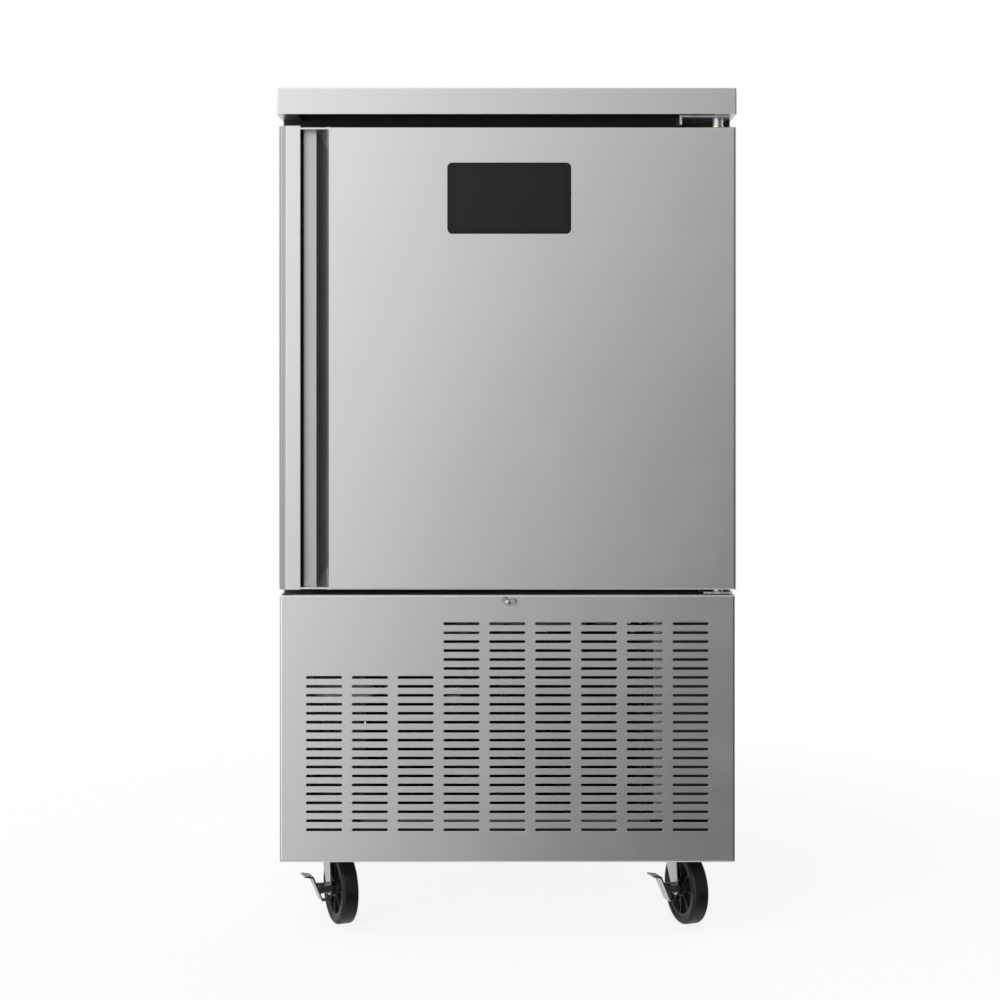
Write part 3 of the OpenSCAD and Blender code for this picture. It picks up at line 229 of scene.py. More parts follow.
def zincLook(g):  # zinc crystals with a dull bloom
    tone = g.node("ShaderNodeSeparateColor", {}, {"Color": g.cells(120, "Color")})
    bloom = g.noise(45.0, 4.0, 0.6)
    return {
        "Base Color": g.blend(tone * 0.55 + bloom * 0.45, (0.50, 0.51, 0.52, 1), (0.74, 0.74, 0.73, 1)),
        "Metallic": 1.0,
        "Roughness": 0.28 + tone * 0.1 + bloom * 0.16,
        "Normal": g.bump(bloom, 0.0001, 0.4),
    }


def brightLook(g):  # bright zinc on small pressings
    grain = g.noise(900.0, 2.0, 0.5)
    haze = g.noise(70.0, 4.0, 0.6)
    return {
        "Base Color": g.blend(haze, (0.36, 0.37, 0.38, 1), (0.52, 0.52, 0.515, 1)),
        "Metallic": 1.0,
        "Roughness": 0.24 + haze * 0.16 + grain * 0.04,
        "Normal": g.bump(grain, 0.00005, 0.4),
    }


def foamLook(g):
    cells = g.cells(900, "Distance")
    age = g.noise(14.0, 4.0, 0.6)
    return {
        "Base Color": g.blend(age, (0.72, 0.62, 0.36, 1), (0.83, 0.76, 0.52, 1)),
        "Roughness": 0.85 + cells * 0.1,
        "Normal": g.bump(cells, 0.0006, 0.7),
    }


# near-black board: partly its own dark colour, partly painted shade for the dark inside of the worktop
def coreAndShadeLook(g):
    chips = g.noise((260, 260, 900), 3.0, 0.6)
    return {
        "Base Color": g.blend(g.ramp(chips, [(0.35, 0.0), (0.65, 1.0)]), (0.012, 0.009, 0.007, 1),
                              (0.035, 0.027, 0.02, 1)),
        "Roughness": 0.72 + chips * 0.2,
        "Normal": g.bump(chips, 0.0004, 0.5),
    }


def plasticLook(tone, rough, depth=0.00012):
    def build(g):
        grain = g.noise(1400.0, 2.0, 0.5)
        wear = g.noise(22.0, 4.0, 0.6)
        return {
            "Base Color": g.blend(wear, grey(tone), grey(tone * 1.5 + 0.004)),
            "Roughness": rough + grain * 0.08 + wear * 0.08,
            "Normal": g.bump(grain, depth, 0.5),
        }
    return build


def tyreLook(g):
    tread = g.noise(700.0, 2.0, 0.5)
    dust = g.ramp(g.noise(40.0, 5.0, 0.65), [(0.45, 0.0), (0.75, 1.0)])
    return {
        "Base Color": g.blend(dust * 0.4, (0.006, 0.006, 0.0065, 1), (0.03, 0.029, 0.028, 1)),
        "Roughness": 0.42 + tread * 0.1 + dust * 0.2,
        "Specular IOR Level": 0.3,
        "Normal": g.bump(tread + dust * 0.5, 0.0002, 0.5),
    }


def finLook(dark, bright, metallic):
    def build(g):
        rows = g.noise((30, 30, 240), 3.0, 0.6)
        dust = g.noise(60.0, 5.0, 0.7)
        return {
            "Base Color": g.blend(rows * 0.5 + dust * 0.5, grey(dark), grey(bright)),
            "Metallic": metallic,
            "Roughness": 0.34 + dust * 0.25,
            "Normal": g.bump(rows, 0.0002, 0.5),
        }
    return build


def paintLook(tone, rough):
    def build(g):
        peel = g.noise(420.0, 2.0, 0.5)
        dust = g.ramp(g.noise(26.0, 5.0, 0.6), [(0.42, 0.0), (0.8, 1.0)])
        return {
            "Base Color": g.blend(dust * 0.5, grey(tone), grey(tone * 2.2 + 0.01)),
            "Roughness": rough + dust * 0.25 + peel * 0.06,
            "Coat Weight": 0.35 - dust * 0.3,
            "Normal": g.bump(peel, 0.00025, 0.4),
        }
    return build


def copperLook(g):
    drawn = g.noise(300.0, 2.0, 0.5)
    aged = g.ramp(g.noise(24.0, 5.0, 0.65), [(0.4, 0.0), (0.72, 1.0)])
    return {
        "Base Color": g.blend(aged * 0.7, (0.86, 0.44, 0.27, 1), (0.43, 0.2, 0.12, 1)),
        "Metallic": 1.0,
        "Roughness": 0.2 + drawn * 0.1 + aged * 0.22,
        "Normal": g.bump(drawn, 0.0001, 0.4),
    }


def brassLook(g):
    turned = g.noise((90, 90, 1600), 2.0, 0.5)
    return {
        "Base Color": g.blend(turned, (0.62, 0.55, 0.40, 1), (0.74, 0.67, 0.52, 1)),
        "Metallic": 1.0,
        "Roughness": 0.24 + turned * 0.14,
        "Normal": g.bump(turned, 0.0001, 0.4),
    }


screenLook = {"edge": 0.002, "face": 0.006, "display": 0.0085, "border": (2.2, 2.2), "inset": (13.0, 12.0)}


def glassLook(g):  # tinted glass: darker printed edge, the display a shade lighter behind it
    s = screenLook
    lo, hi = span("touch_glass")
    mid, half = (lo + hi) / 2, (hi - lo) / 2

    def inside(inset, soft):  # 1 inside a rectangle that lies this far inside the glass
        across, up = ((half[axis] - gap) * mm - abs(g.part(g.here(), axis) - mid[axis] * mm)
                      for axis, gap in zip((0, 2), inset))
        return g.clamp(across.math("MINIMUM", up) / (soft * mm))

    film = g.noise(35.0, 4.0, 0.6)
    face = g.blend(inside(s["border"], 0.4), grey(s["edge"]), grey(s["face"]))
    return {
        "Base Color": g.blend(inside(s["inset"], 0.5), face, grey(s["display"])),
        "Roughness": 0.07 + film * 0.08,
        "IOR": 1.33,
    }


finishes = {
    "satinFront": finish("satin_steel_across", brushed("x")),
    "satinSide": finish("satin_steel_deep", brushed("y")),
    "satinUp": finish("satin_steel_upright", brushed("z")),
    "chamber": finish("chamber_steel_sheet", chamberLook),
    "zinc": finish("zinc_plate", zincLook),
    "foam": finish("rigid_foam", foamLook),
    "core": finish("core_board", coreAndShadeLook),
    "glass": finish("touch_glass", glassLook),
    "plastic": finish("moulded_plastic", plasticLook(0.018, 0.38)),
    "frame": finish("frame_plastic", plasticLook(0.005, 0.5)),
    "paintLight": finish("pale_paint", paintLook(0.72, 0.4)),
    "channel": finish("satin_steel_channel", channelLookPaintedShade),
    "gasket": finish("gasket_rubber", plasticLook(0.035, 0.5, 0.0002)),
    "tyre": finish("tyre_rubber", tyreLook),
    "hub": finish("hub_plastic", plasticLook(0.002, 0.42)),
    "finAluminium": finish("aluminium_fins", finLook(0.55, 0.82, 1.0)),
    "finBlack": finish("coated_fins", finLook(0.012, 0.035, 0.4)),
    "paintBlack": finish("black_paint", paintLook(0.012, 0.26)),
    "paintDark": finish("dark_paint", paintLook(0.03, 0.42)),
    "paintGrey": finish("grey_paint", paintLook(0.2, 0.4)),
    "bright": finish("bright_zinc", brightLook),
    "copper": finish("copper_tube", copperLook),
    "brass": finish("bush_brass", brassLook),
}
casterNames = ["front_left", "front_right", "rear_left", "rear_right"]
nodeFinish = {
    "satinFront": ["worktop", "door_skin", "front_panel", "handle_end_caps", "back_panel", "rear_grille"],
    "satinSide": ["side_panel_left", "side_panel_right"],
    "channel": ["handle_channel"],
    "chamber": ["chamber_liner", "door_liner", "fan_cowl", "tray_rack_left", "tray_rack_right",
                "chamber_drain"],
    "zinc": ["service_rail", "base_plate", "condensate_tray", "electrical_box", "hinge_bracket_top",
             "hinge_bracket_bottom", "hinge_screws", "wing_screw", "filter_drier", "caster_plates",
             "caster_bolts", "brake_lever_left", "brake_lever_right"]
            + ["fork_" + name for name in casterNames],
    "foam": ["insulation", "door_foam"],
    "core": ["worktop_core"],
    "glass": ["touch_glass"],
    "frame": ["front_frame"],
    "plastic": ["display_module", "power_gland", "evaporator_fan_upper", "evaporator_fan_lower",
                "condenser_fan"],
    "hub": ["hub_" + name for name in casterNames],
    "gasket": ["door_gasket"],
    "tyre": ["tyre_" + name for name in casterNames],
    "finAluminium": ["evaporator_coil"],
    "finBlack": ["condenser_coil"],
    "paintBlack": ["compressor", "receiver"],
    "paintDark": ["condenser_shroud", "fan_motors"],
    "copper": ["refrigerant_pipes"],
    "brass": ["hinge_bushes"],
}
for key, names in nodeFinish.items():
    for name in names:
        node = frame["nodes"][name]
        node.data.materials.clear()
        node.data.materials.append(finishes[key])
print("finishes: %d, on every CAD node" % len(finishes))


def bevel(bm, verts, edge, steps):  # rounds the edges of the solid that these vertices belong to
    edges = list({e for v in verts for e in v.link_edges})
    bmesh.ops.bevel(bm, geom=edges, offset=edge * mm, segments=steps, profile=0.5, affect="EDGES",
                    clamp_overlap=True)


def addBox(bm, lo, hi, edge=0.0, steps=2):
    lo, hi = Vector(lo) * mm, Vector(hi) * mm
    made = bmesh.ops.create_cube(bm, size=1.0)["verts"]
    for v in made:
        v.co = Vector((lo[i] + (v.co[i] + 0.5) * (hi[i] - lo[i]) for i in range(3)))
    if edge:
        bevel(bm, made, edge, steps)


def joinRings(bm, rings, capFirst=False, capLast=False, loop=False):  # a skin over rings of as many points
    made = [[bm.verts.new(p) for p in ring] for ring in rings]
    for a, b in list(zip(made, made[1:])) + ([(made[-1], made[0])] if loop else []):
        for i in range(len(a)):
            j = (i + 1) % len(a)
            bm.faces.new((a[i], a[j], b[j], b[i]))
    if capFirst:
        bm.faces.new(list(reversed(made[0])))
    if capLast:
        bm.faces.new(made[-1])
    return made


def axes(direction):  # two directions square to this one
    d = Vector(direction).normalized()
    side = Vector((0, 0, 1)) if abs(d.z) < 0.9 else Vector((1, 0, 0))
    a = side.cross(d).normalized()
    return d, a, d.cross(a)


def addLathe(bm, profile, centre, axis, sides=48):  # profile: radius and place along the axis
    d, a, b = axes(axis)
    turns = [2 * math.pi * i / sides for i in range(sides)]
    joinRings(bm, [[Vector(centre) * mm + d * along * mm + (a * math.cos(t) + b * math.sin(t)) * (radius * mm)
                    for t in turns] for radius, along in profile])


def rounded(points, bend, steps=6):  # a path with its corners turned into arcs
    pts = [Vector(p) for p in points]
    out = [pts[0]]
    for before, at, after in zip(pts, pts[1:], pts[2:]):
        u, v = (before - at), (after - at)
        angle = u.angle(v)
        if angle > math.radians(178):
            out.append(at)
            continue
        cut = min(bend / math.tan(angle / 2), u.length * 0.49, v.length * 0.49)
        r = cut * math.tan(angle / 2)
        p, q = at + u.normalized() * cut, at + v.normalized() * cut
        middle = at + (u.normalized() + v.normalized()).normalized() * (r / math.sin(angle / 2))
        for i in range(steps + 1):
            t = i / steps
            w = (p - middle).lerp(q - middle, t)
            out.append(middle + w.normalized() * r)
    out.append(pts[-1])
    return out


def addTube(bm, points, diameter, bend, sides=14, steps=6):
    path = rounded(points, bend, steps)
    d, a, b = axes(path[1] - path[0])
    turns = [2 * math.pi * k / sides for k in range(sides)]
    rings = []
    for i, p in enumerate(path):
        ahead = (path[min(i + 1, len(path) - 1)] - path[max(i - 1, 0)]).normalized()
        turn = d.rotation_difference(ahead)
        d, a, b = ahead, turn @ a, turn @ b
        rings.append([(p + (a * math.cos(t) + b * math.sin(t)) * (diameter / 2)) * mm for t in turns])
    joinRings(bm, rings, capFirst=True, capLast=True)


def addPrism(bm, outline, axis, start, end, edge=0.0, steps=2):  # outline in the two other axes
    others = [i for i in range(3) if i != axis]

    def at(p, along):
        v = Vector((0, 0, 0))
        v[axis], v[others[0]], v[others[1]] = along, p[0], p[1]
        return v * mm

    rings = [[at(p, along) for p in outline] for along in (start, end)]
    made = joinRings(bm, rings, capFirst=True, capLast=True)
    if edge:
        bevel(bm, made[0] + made[1], edge, steps)


def onCircle(x, y, radius, degrees):
    return [(x + radius * math.cos(math.radians(a)), y + radius * math.sin(math.radians(a))) for a in degrees]


def arcPoints(x, y, radius, start, end, steps=8):
    return onCircle(x, y, radius, [start + (end - start) * i / steps for i in range(steps + 1)])


def roundRect(x0, x1, z0, z1, radius, steps=5):  # corner points, anticlockwise
    r = max(radius, 0.01)
    corners = ((x1 - r, z1 - r, 0), (x0 + r, z1 - r, 90), (x0 + r, z0 + r, 180), (x1 - r, z0 + r, 270))
    return [p for x, z, start in corners for p in arcPoints(x, z, r, start, start + 90, steps)]


def shape(name, fill, tidy=True):  # a mesh from a function that fills a bmesh
    bm = bmesh.new()
    fill(bm)
    if tidy:
        bmesh.ops.remove_doubles(bm, verts=bm.verts, dist=0.000005)
        bmesh.ops.dissolve_degenerate(bm, dist=0.000001, edges=bm.edges)
        bmesh.ops.recalc_face_normals(bm, faces=bm.faces)
    mesh = bpy.data.meshes.new(name)
    bm.to_mesh(mesh)
    bm.free()
    return mesh


def place(name, mesh, body, slot, look, stands=(), smooth=35):  # the finished piece rides on its body
    mesh.materials.clear()
    mesh.materials.append(finishes[look])
    mesh.shade_smooth()
    mesh.set_sharp_from_angle(angle=math.radians(smooth))
    piece = bpy.data.objects.new(name, mesh)
    bpy.context.scene.collection.objects.link(piece)
    weigh = piece.modifiers.new("weigh", "WEIGHTED_NORMAL")  # flat faces stay flat beside rounded edges
    weigh.keep_sharp = True
    weighed = bpy.data.meshes.new_from_object(piece.evaluated_get(bpy.context.evaluated_depsgraph_get()))
    piece.modifiers.clear()
    piece.data = weighed
    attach(piece, body)
    if stands:
        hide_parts(*stands)
    return piece


def repeatTree(name, wanted, build):  # a tree with named inputs that ends in one plain mesh
    tree = bpy.data.node_groups.new(name, "GeometryNodeTree")
    tree.interface.new_socket("Geometry", in_out="INPUT", socket_type="NodeSocketGeometry")
    keys = {}
    for label, kind in wanted.items():
        keys[label] = tree.interface.new_socket(label, in_out="INPUT",
                                                socket_type="NodeSocket" + kind).identifier
    tree.interface.new_socket("Geometry", in_out="OUTPUT", socket_type="NodeSocketGeometry")
    g = Graph(tree)
    entry = tree.nodes.new("NodeGroupInput")
    given = {out.name: Sock(g, out) for out in entry.outputs if out.name}
    points, turn = build(g, given)
    thing = g.node("GeometryNodeObjectInfo", {}, {"Object": given["Piece"]}, "Geometry")
    copies = g.node("GeometryNodeInstanceOnPoints", {},
                    {"Points": points, "Instance": thing, "Rotation": turn})
    real = g.node("GeometryNodeRealizeInstances", {}, {0: copies})
    dressed = g.node("GeometryNodeSetMaterial", {}, {0: real, "Material": given["Finish"]})
    g.node("NodeGroupOutput", {}, {0: dressed})
    return tree, keys


def gridPoints(g, given):  # a row of rows
    row = g.node("GeometryNodeMeshLine", {"mode": "OFFSET"},
                 {"Count": given["Columns"], "Start Location": given["Start"], "Offset": given["Step"]})
    column = g.node("GeometryNodeMeshLine", {"mode": "OFFSET"},
                    {"Count": given["Rows"], "Start Location": (0, 0, 0), "Offset": given["Row Step"]})
    spread = g.node("GeometryNodeInstanceOnPoints", {}, {"Points": row, "Instance": column})
    return g.node("GeometryNodeRealizeInstances", {}, {0: spread}), given["Turn"]


def ringPoints(g, given):  # copies turned round the Z axis
    line = g.node("GeometryNodeMeshLine", {"mode": "OFFSET"},
                  {"Count": given["Count"], "Start Location": (0, 0, 0), "Offset": (0, 0, 0)})
    index = g.node("GeometryNodeInputIndex")
    angle = index * (2 * math.pi) / given["Count"]
    return line, g.node("ShaderNodeCombineXYZ", {}, {"Z": angle})


def markedPoints(g, given):  # copies on the vertices of the given mesh, turned as its "turn" attribute says
    turn = g.node("GeometryNodeInputNamedAttribute", {"data_type": "FLOAT_VECTOR"}, {"Name": "turn"})
    return given["Geometry"], turn


gridTree = repeatTree("rows_and_columns", {"Piece": "Object", "Columns": "Int", "Rows": "Int",
                                           "Start": "Vector", "Step": "Vector", "Row Step": "Vector",
                                           "Turn": "Vector", "Finish": "Material"}, gridPoints)
ringTree = repeatTree("round_an_axis", {"Piece": "Object", "Count": "Int", "Finish": "Material"}, ringPoints)
markTree = repeatTree("on_marks", {"Piece": "Object", "Finish": "Material"}, markedPoints)


def repeat(trees, unit, look, values, marks=None):  # the repeated piece as one plain mesh
    tree, keys = trees
    link = bpy.context.scene.collection.objects.link
    one = bpy.data.objects.new("unit", unit)
    holder = bpy.data.objects.new("repeat", marks or bpy.data.meshes.new("repeat"))
    link(one)
    link(holder)
    grow = holder.modifiers.new("repeat", "NODES")
    grow.node_group = tree
    for label, value in dict(values, Piece=one, Finish=finishes[look]).items():
        grow[keys[label]] = value
    bpy.context.view_layer.update()
    made = bpy.data.meshes.new_from_object(holder.evaluated_get(bpy.context.evaluated_depsgraph_get()))
    holder.modifiers.clear()
    bpy.data.objects.remove(holder)
    bpy.data.objects.remove(one)
    return made


def marks(places):  # a mesh of points with a turn each, from (x, y, z, Euler degrees) rows
    mesh = bpy.data.meshes.new("marks")
    mesh.from_pydata([Vector(p[:3]) * mm for p in places], [], [])
    turn = mesh.attributes.new("turn", "FLOAT_VECTOR", "POINT")
    for i, p in enumerate(places):
        turn.data[i].vector = [math.radians(c) for c in p[3]]
    return mesh


def joined(name, *meshes):
    bm = bmesh.new()
    for mesh in meshes:
        bm.from_mesh(mesh)
    mesh = bpy.data.meshes.new(name)
    bm.to_mesh(mesh)
    bm.free()
    return mesh


screwSize = {"head": 8.4, "rise": 2.4, "recess": 4.2, "depth": 1.1}


def screwHead(bm, s=screwSize, sides=16):  # pan head that stands up along Z, with a cross recess
    r, h = s["head"] / 2, s["rise"]
    addLathe(bm, [(0, -0.4), (r * 0.96, -0.4), (r, 0.4), (r * 0.93, h * 0.62), (r * 0.7, h * 0.93),
                  (r * 0.52, h), (r * 0.42, h - s["depth"]), (0, h - s["depth"])],
             (0, 0, 0), (0, 0, 1), sides)
    for long, wide in ((s["recess"], 0.9), (0.9, s["recess"])):
        addBox(bm, (-long / 2, -wide / 2, h - s["depth"] - 0.4), (long / 2, wide / 2, h - s["depth"] * 0.45))


def hexagon(across, x=0.0, y=0.0):
    return onCircle(x, y, across / math.sqrt(3), range(0, 360, 60))


def boltHead(bm):  # hexagon head on a washer, along Z
    addLathe(bm, [(0, 0), (8, 0), (8, 1.2), (0, 1.2)], (0, 0, 0), (0, 0, 1), 20)
    addPrism(bm, hexagon(12), 2, 1.2, 4.9, 0.4, 1)


screwMesh = shape("screw", screwHead)
boltMesh = shape("bolt", boltHead)
frontTurn, backTurn = (90, 0, 0), (-90, 0, 0)
print("repeats: trees ready")


worktopSize = {"sheet": 1.5, "edge": 3.0, "corner": 3.0, "return": 36.0}


def worktopSheet(bm):
    lo, hi = span("worktop")
    s = worktopSize

    def ring(inset, z, corner):
        return [Vector((x, y, z)) * mm for x, y in
                roundRect(lo.x + inset, hi.x - inset, lo.y + inset, hi.y - inset, corner)]

    outer = [ring(0, lo.z, s["corner"])]
    for i in range(7):
        t = math.radians(90 * i / 6)
        inset = s["edge"] * (1 - math.cos(t))
        outer.append(ring(inset, hi.z - s["edge"] + s["edge"] * math.sin(t), s["corner"] - inset * 0.6))
    inner = [ring(s["sheet"], lo.z, s["corner"] - 1), ring(s["sheet"], hi.z - s["edge"], s["corner"] - 1),
             ring(s["edge"], hi.z - s["sheet"], 1)]
    joinRings(bm, list(reversed(inner)) + outer, capFirst=True, capLast=True)
    for side in (-1, 1):
        edgeX = hi.x if side > 0 else lo.x
        a, b = sorted((edgeX - side * s["sheet"], edgeX - side * s["return"]))
        addBox(bm, (a, lo.y + s["sheet"], lo.z), (b, hi.y - s["sheet"], lo.z + s["sheet"]), 0.4, 1)


place("worktop_sheet", shape("worktop_sheet", worktopSheet), "cabinet", "satin_steel", "satinFront",
      ["worktop"])
print("worktop done")


panelSize = {
    "sheet": 1.5, "edge": 4.0, "lip": 0.35,
    "slot": (63.0, 5.0), "pitch": (80.0, 15.64), "columns": 9, "shortColumns": 3, "rows": 24, "shortRows": 18,
    "firstRow": 57.4, "pinLength": 30.0, "pin": 6.0, "pinRise": 9.5, "notch": 20.0,
}


def slotTile(bm):  # one slot in its own rectangle of sheet, face towards -Y
    s = panelSize
    halfW, halfH = s["pitch"][0] / 2, s["pitch"][1] / 2
    r, reach = s["slot"][1] / 2, s["slot"][0] / 2 - s["slot"][1] / 2
    border = [(reach, -halfH), (halfW, -halfH), (halfW, -halfH * 0.4), (halfW, halfH * 0.4), (halfW, halfH),
              (reach, halfH)]
    border += [(-x, -z) for x, z in border]
    angles = [math.radians(-90 + 36 * i) for i in range(6)]

    def hole(grow):
        right = [(reach + (r + grow) * math.cos(t), (r + grow) * math.sin(t)) for t in angles]
        return right + [(-x, -z) for x, z in right]

    rings = [[Vector((x, y, z)) * mm for x, z in points] for y, points in (
        (0, border), (0, hole(s["lip"])), (s["lip"], hole(0)), (s["sheet"], hole(0)), (s["sheet"], border))]
    joinRings(bm, rings)


def notchFoot(bm, lo, hi):  # the bottom fold is cut away behind its front, clear of the pivot lugs
    s = panelSize
    x0, x1, y0 = (lo.x + s["notch"]) * mm, (hi.x - s["notch"]) * mm, (lo.y + s["notch"]) * mm
    top = (lo.z + s["sheet"] + 0.2) * mm

    def foot():
        return [f for f in bm.faces if max(v.co.z for v in f.verts) < top]

    for at, way in (((x0, 0, 0), (1, 0, 0)), ((x1, 0, 0), (1, 0, 0)), ((0, y0, 0), (0, 1, 0))):
        faces = foot()
        edges = list({e for f in faces for e in f.edges})
        verts = list({v for f in faces for v in f.verts})
        bmesh.ops.bisect_plane(bm, geom=faces + edges + verts, plane_co=at, plane_no=way, dist=1e-7)
    middle = [(f, f.calc_center_median()) for f in foot()]
    bmesh.ops.delete(bm, geom=[f for f, c in middle if x0 < c.x < x1 and c.y > y0], context="FACES")
    low, high = (lo.z + 0.1) * mm, {}
    for v in bm.verts:
        if low < v.co.z < top:
            high[round(v.co.x, 6), round(v.co.y, 6)] = v
    for e in [e for e in bm.edges if e.is_boundary and max(v.co.z for v in e.verts) < low]:
        a, b = e.verts
        up = [high.get((round(v.co.x, 6), round(v.co.y, 6))) for v in (b, a)]
        if all(up):
            bm.faces.new([a, b] + up)


def panelFrame(bm):  # the sheet round the slots and the folded sides
    s = panelSize
    lo, hi = span("front_panel")
    e, t = s["edge"], s["sheet"]
    tileX0 = (lo.x + hi.x) / 2 - s["pitch"][0] * s["columns"] / 2
    tileX1 = tileX0 + s["pitch"][0] * s["columns"]
    tileX = tileX0 + s["pitch"][0] * s["shortColumns"]
    foot = lo.z + s["firstRow"] - s["pitch"][1] / 2
    head, headShort = foot + s["pitch"][1] * s["rows"], foot + s["pitch"][1] * s["shortRows"]
    sheets = [(lo.x + e, tileX0, lo.z + e, hi.z - e), (tileX1, hi.x - e, lo.z + e, hi.z - e),
              (tileX0, tileX1, lo.z + e, foot), (tileX, tileX1, head, hi.z - e),
              (tileX0, tileX, headShort, hi.z - e)]
    for x0, x1, z0, z1 in sheets:
        corners = [(x0, z0), (x1, z0), (x1, z1), (x0, z1)]
        bm.faces.new([bm.verts.new(Vector((x, lo.y, z)) * mm) for x, z in corners])
        bm.faces.new([bm.verts.new(Vector((x, lo.y + t, z)) * mm) for x, z in reversed(corners)])

    def ring(inset, y, corner):
        return [Vector((x, y, z)) * mm for x, z in
                roundRect(lo.x + inset, hi.x - inset, lo.z + inset, hi.z - inset, corner)]

    rings = []
    for i in range(6):
        a = math.radians(90 * i / 5)
        rings.append(ring(e * (1 - math.sin(a)), lo.y + e * (1 - math.cos(a)), e * math.sin(a)))
    rings += [ring(0, hi.y, e), ring(t, hi.y, e - t)]
    for i in range(5, -1, -1):
        a, k = math.radians(90 * i / 5), e - t
        rings.append(ring(t + k * (1 - math.sin(a)), lo.y + t + k * (1 - math.cos(a)), k * math.sin(a)))
    joinRings(bm, [list(reversed(r)) for r in rings])
    notchFoot(bm, lo, hi)
    return tileX0, foot


def lowerPanel():
    s = panelSize
    lo, hi = span("front_panel")
    origin = []
    frameMesh = shape("panel_frame", lambda bm: origin.extend(panelFrame(bm)), tidy=False)
    tile = shape("slot_tile", slotTile, tidy=False)
    x0, foot = origin
    step, row = Vector((s["pitch"][0], 0, 0)) * mm, Vector((0, 0, s["pitch"][1])) * mm
    fields = []
    for first, columns, rows in ((0, s["shortColumns"], s["shortRows"]),
                                 (s["shortColumns"], s["columns"] - s["shortColumns"], s["rows"])):
        start = Vector((x0 + s["pitch"][0] * (first + 0.5), lo.y, foot + s["pitch"][1] / 2)) * mm
        fields.append(repeat(gridTree, tile, "satinFront", {"Columns": columns, "Rows": rows, "Start": start,
                                                            "Step": step, "Row Step": row}))

    def pins(bm):
        for side in (-1, 1):
            x = lo.x + s["sheet"] if side < 0 else hi.x - s["sheet"]
            addLathe(bm, [(0, 0), (s["pin"] / 2, 0), (s["pin"] / 2, s["pinLength"] - 1), (2, s["pinLength"]),
                          (0, s["pinLength"])], (x, hi.y - 6, lo.z + s["pinRise"]), (-side, 0, 0), 20)

    mesh = joined("lower_panel", frameMesh, *fields, shape("pins", pins))
    place("lower_panel_sheet", mesh, "lower_panel", "satin_steel", "satinFront", ["front_panel"])


lowerPanel()
print("lower panel done")


fanSize = {
    "evaporator_fan_upper": {"body": "upper_chamber_fan", "blades": 7, "hub": 31.0},
    "evaporator_fan_lower": {"body": "lower_chamber_fan", "blades": 7, "hub": 31.0},
    "condenser_fan": {"body": "machine_fan", "blades": 5, "hub": 34.0},
}


def bladeShape(hub, tip, half, blades):  # one swept, cambered blade; the fan's axis is Z
    def fill(bm):
        across, along = 7, 9
        chord = 2 * math.pi / blades * 0.82
        sides = []
        for sign in (1, -1):
            sheet = []
            for i in range(along):
                u = i / (along - 1)
                r = hub * 0.94 + (tip - hub * 0.94) * u
                line = []
                for j in range(across):
                    v = j / (across - 1) - 0.5
                    corner = 1 - 0.55 * max(0.0, u - 0.72) ** 1.4 * (2 * abs(v)) ** 2 * 6
                    angle = v * chord * (0.78 + 0.3 * u) * corner - 0.42 * u * u
                    rise = -v * 2 * half * 0.92 * (1 - 0.25 * u) + 0.1 * half * (1 - 4 * v * v)
                    rise += sign * 0.9 * (1 - 0.7 * u) * (1 - 3.6 * v * v)
                    line.append(Vector((r * math.cos(angle), r * math.sin(angle), rise)) * mm)
                sheet.append(line)
            sides.append(sheet)
        front, back = ([[bm.verts.new(p) for p in line] for line in sheet] for sheet in sides)
        for i in range(along - 1):
            for j in range(across - 1):
                bm.faces.new((front[i][j], front[i + 1][j], front[i + 1][j + 1], front[i][j + 1]))
                bm.faces.new((back[i][j], back[i][j + 1], back[i + 1][j + 1], back[i + 1][j]))
        rim = [(i, 0) for i in range(along)] + [(along - 1, j) for j in range(1, across)]
        rim += ([(i, across - 1) for i in range(along - 2, -1, -1)]
                + [(0, j) for j in range(across - 2, 0, -1)])
        for (i, j), (k, l) in zip(rim, rim[1:] + rim[:1]):
            bm.faces.new((front[i][j], back[i][j], back[k][l], front[k][l]))
    return fill


def rotor(node):
    s = fanSize[node]
    lo, hi = span(node)
    middle, tip = (lo + hi) / 2, (hi.x - lo.x) / 2
    nose = min(lo.y + 13.0, middle.y)  # middle of the blades along the shaft
    half = min(nose - lo.y, 12.0)
    blade = shape("blade", bladeShape(s["hub"], tip - 0.6, half, s["blades"]))
    blades = repeat(ringTree, blade, "plastic", {"Count": s["blades"]})

    def hub(bm):
        r = s["hub"]
        addLathe(bm, [(0, half), (r * 0.5, half), (r * 0.86, half * 0.86), (r, half * 0.5), (r, -half * 0.9),
                      (r - 2, -half), (r - 3, -half), (r - 3, half * 0.3), (8, half * 0.3), (8, -half),
                      (0, -half)],
                 (0, 0, 0), (0, 0, 1), 40)
        for i in range(6):
            t = math.radians(60 * i)
            addTube(bm, [Vector((math.cos(t) * 8, math.sin(t) * 8, -half * 0.2)),
                         Vector((math.cos(t) * (r - 2), math.sin(t) * (r - 2), -half * 0.2))], 3.0, 1, 6)

    mesh = joined(node, blades, shape("hub", hub))
    mesh.transform(Matrix.Translation(Vector((middle.x, nose, (lo.z + hi.z) / 2)) * mm) @
                   Euler((math.radians(90), 0, 0)).to_matrix().to_4x4())
    shaft = shape("shaft", lambda bm: addLathe(
        bm, [(0, 0), (3.6, 0), (4, 0.5), (4, hi.y - nose - 0.5), (3.6, hi.y - nose), (0, hi.y - nose)],
        (middle.x, nose, (lo.z + hi.z) / 2), (0, 1, 0), 16))
    place(node + "_rotor", joined(node, mesh, shaft), s["body"], "black_plastic", "plastic", [node])


for node in fanSize:
    rotor(node)
print("fans done")


coilSize = {
    "evaporator_coil": {"pitch": 4.0, "look": "finAluminium", "slot": "aluminium_fins", "tube": 10.0,
                        "rows": 8, "bendLook": "copper", "bendSlot": "copper"},
    "condenser_coil": {"pitch": 2.6, "look": "finBlack", "slot": "black_fins", "tube": 8.0, "rows": 12,
                       "bendLook": "paintBlack", "bendSlot": "black_fins"},
    "plate": 1.5, "fold": 5.0, "reach": 9.0,
}


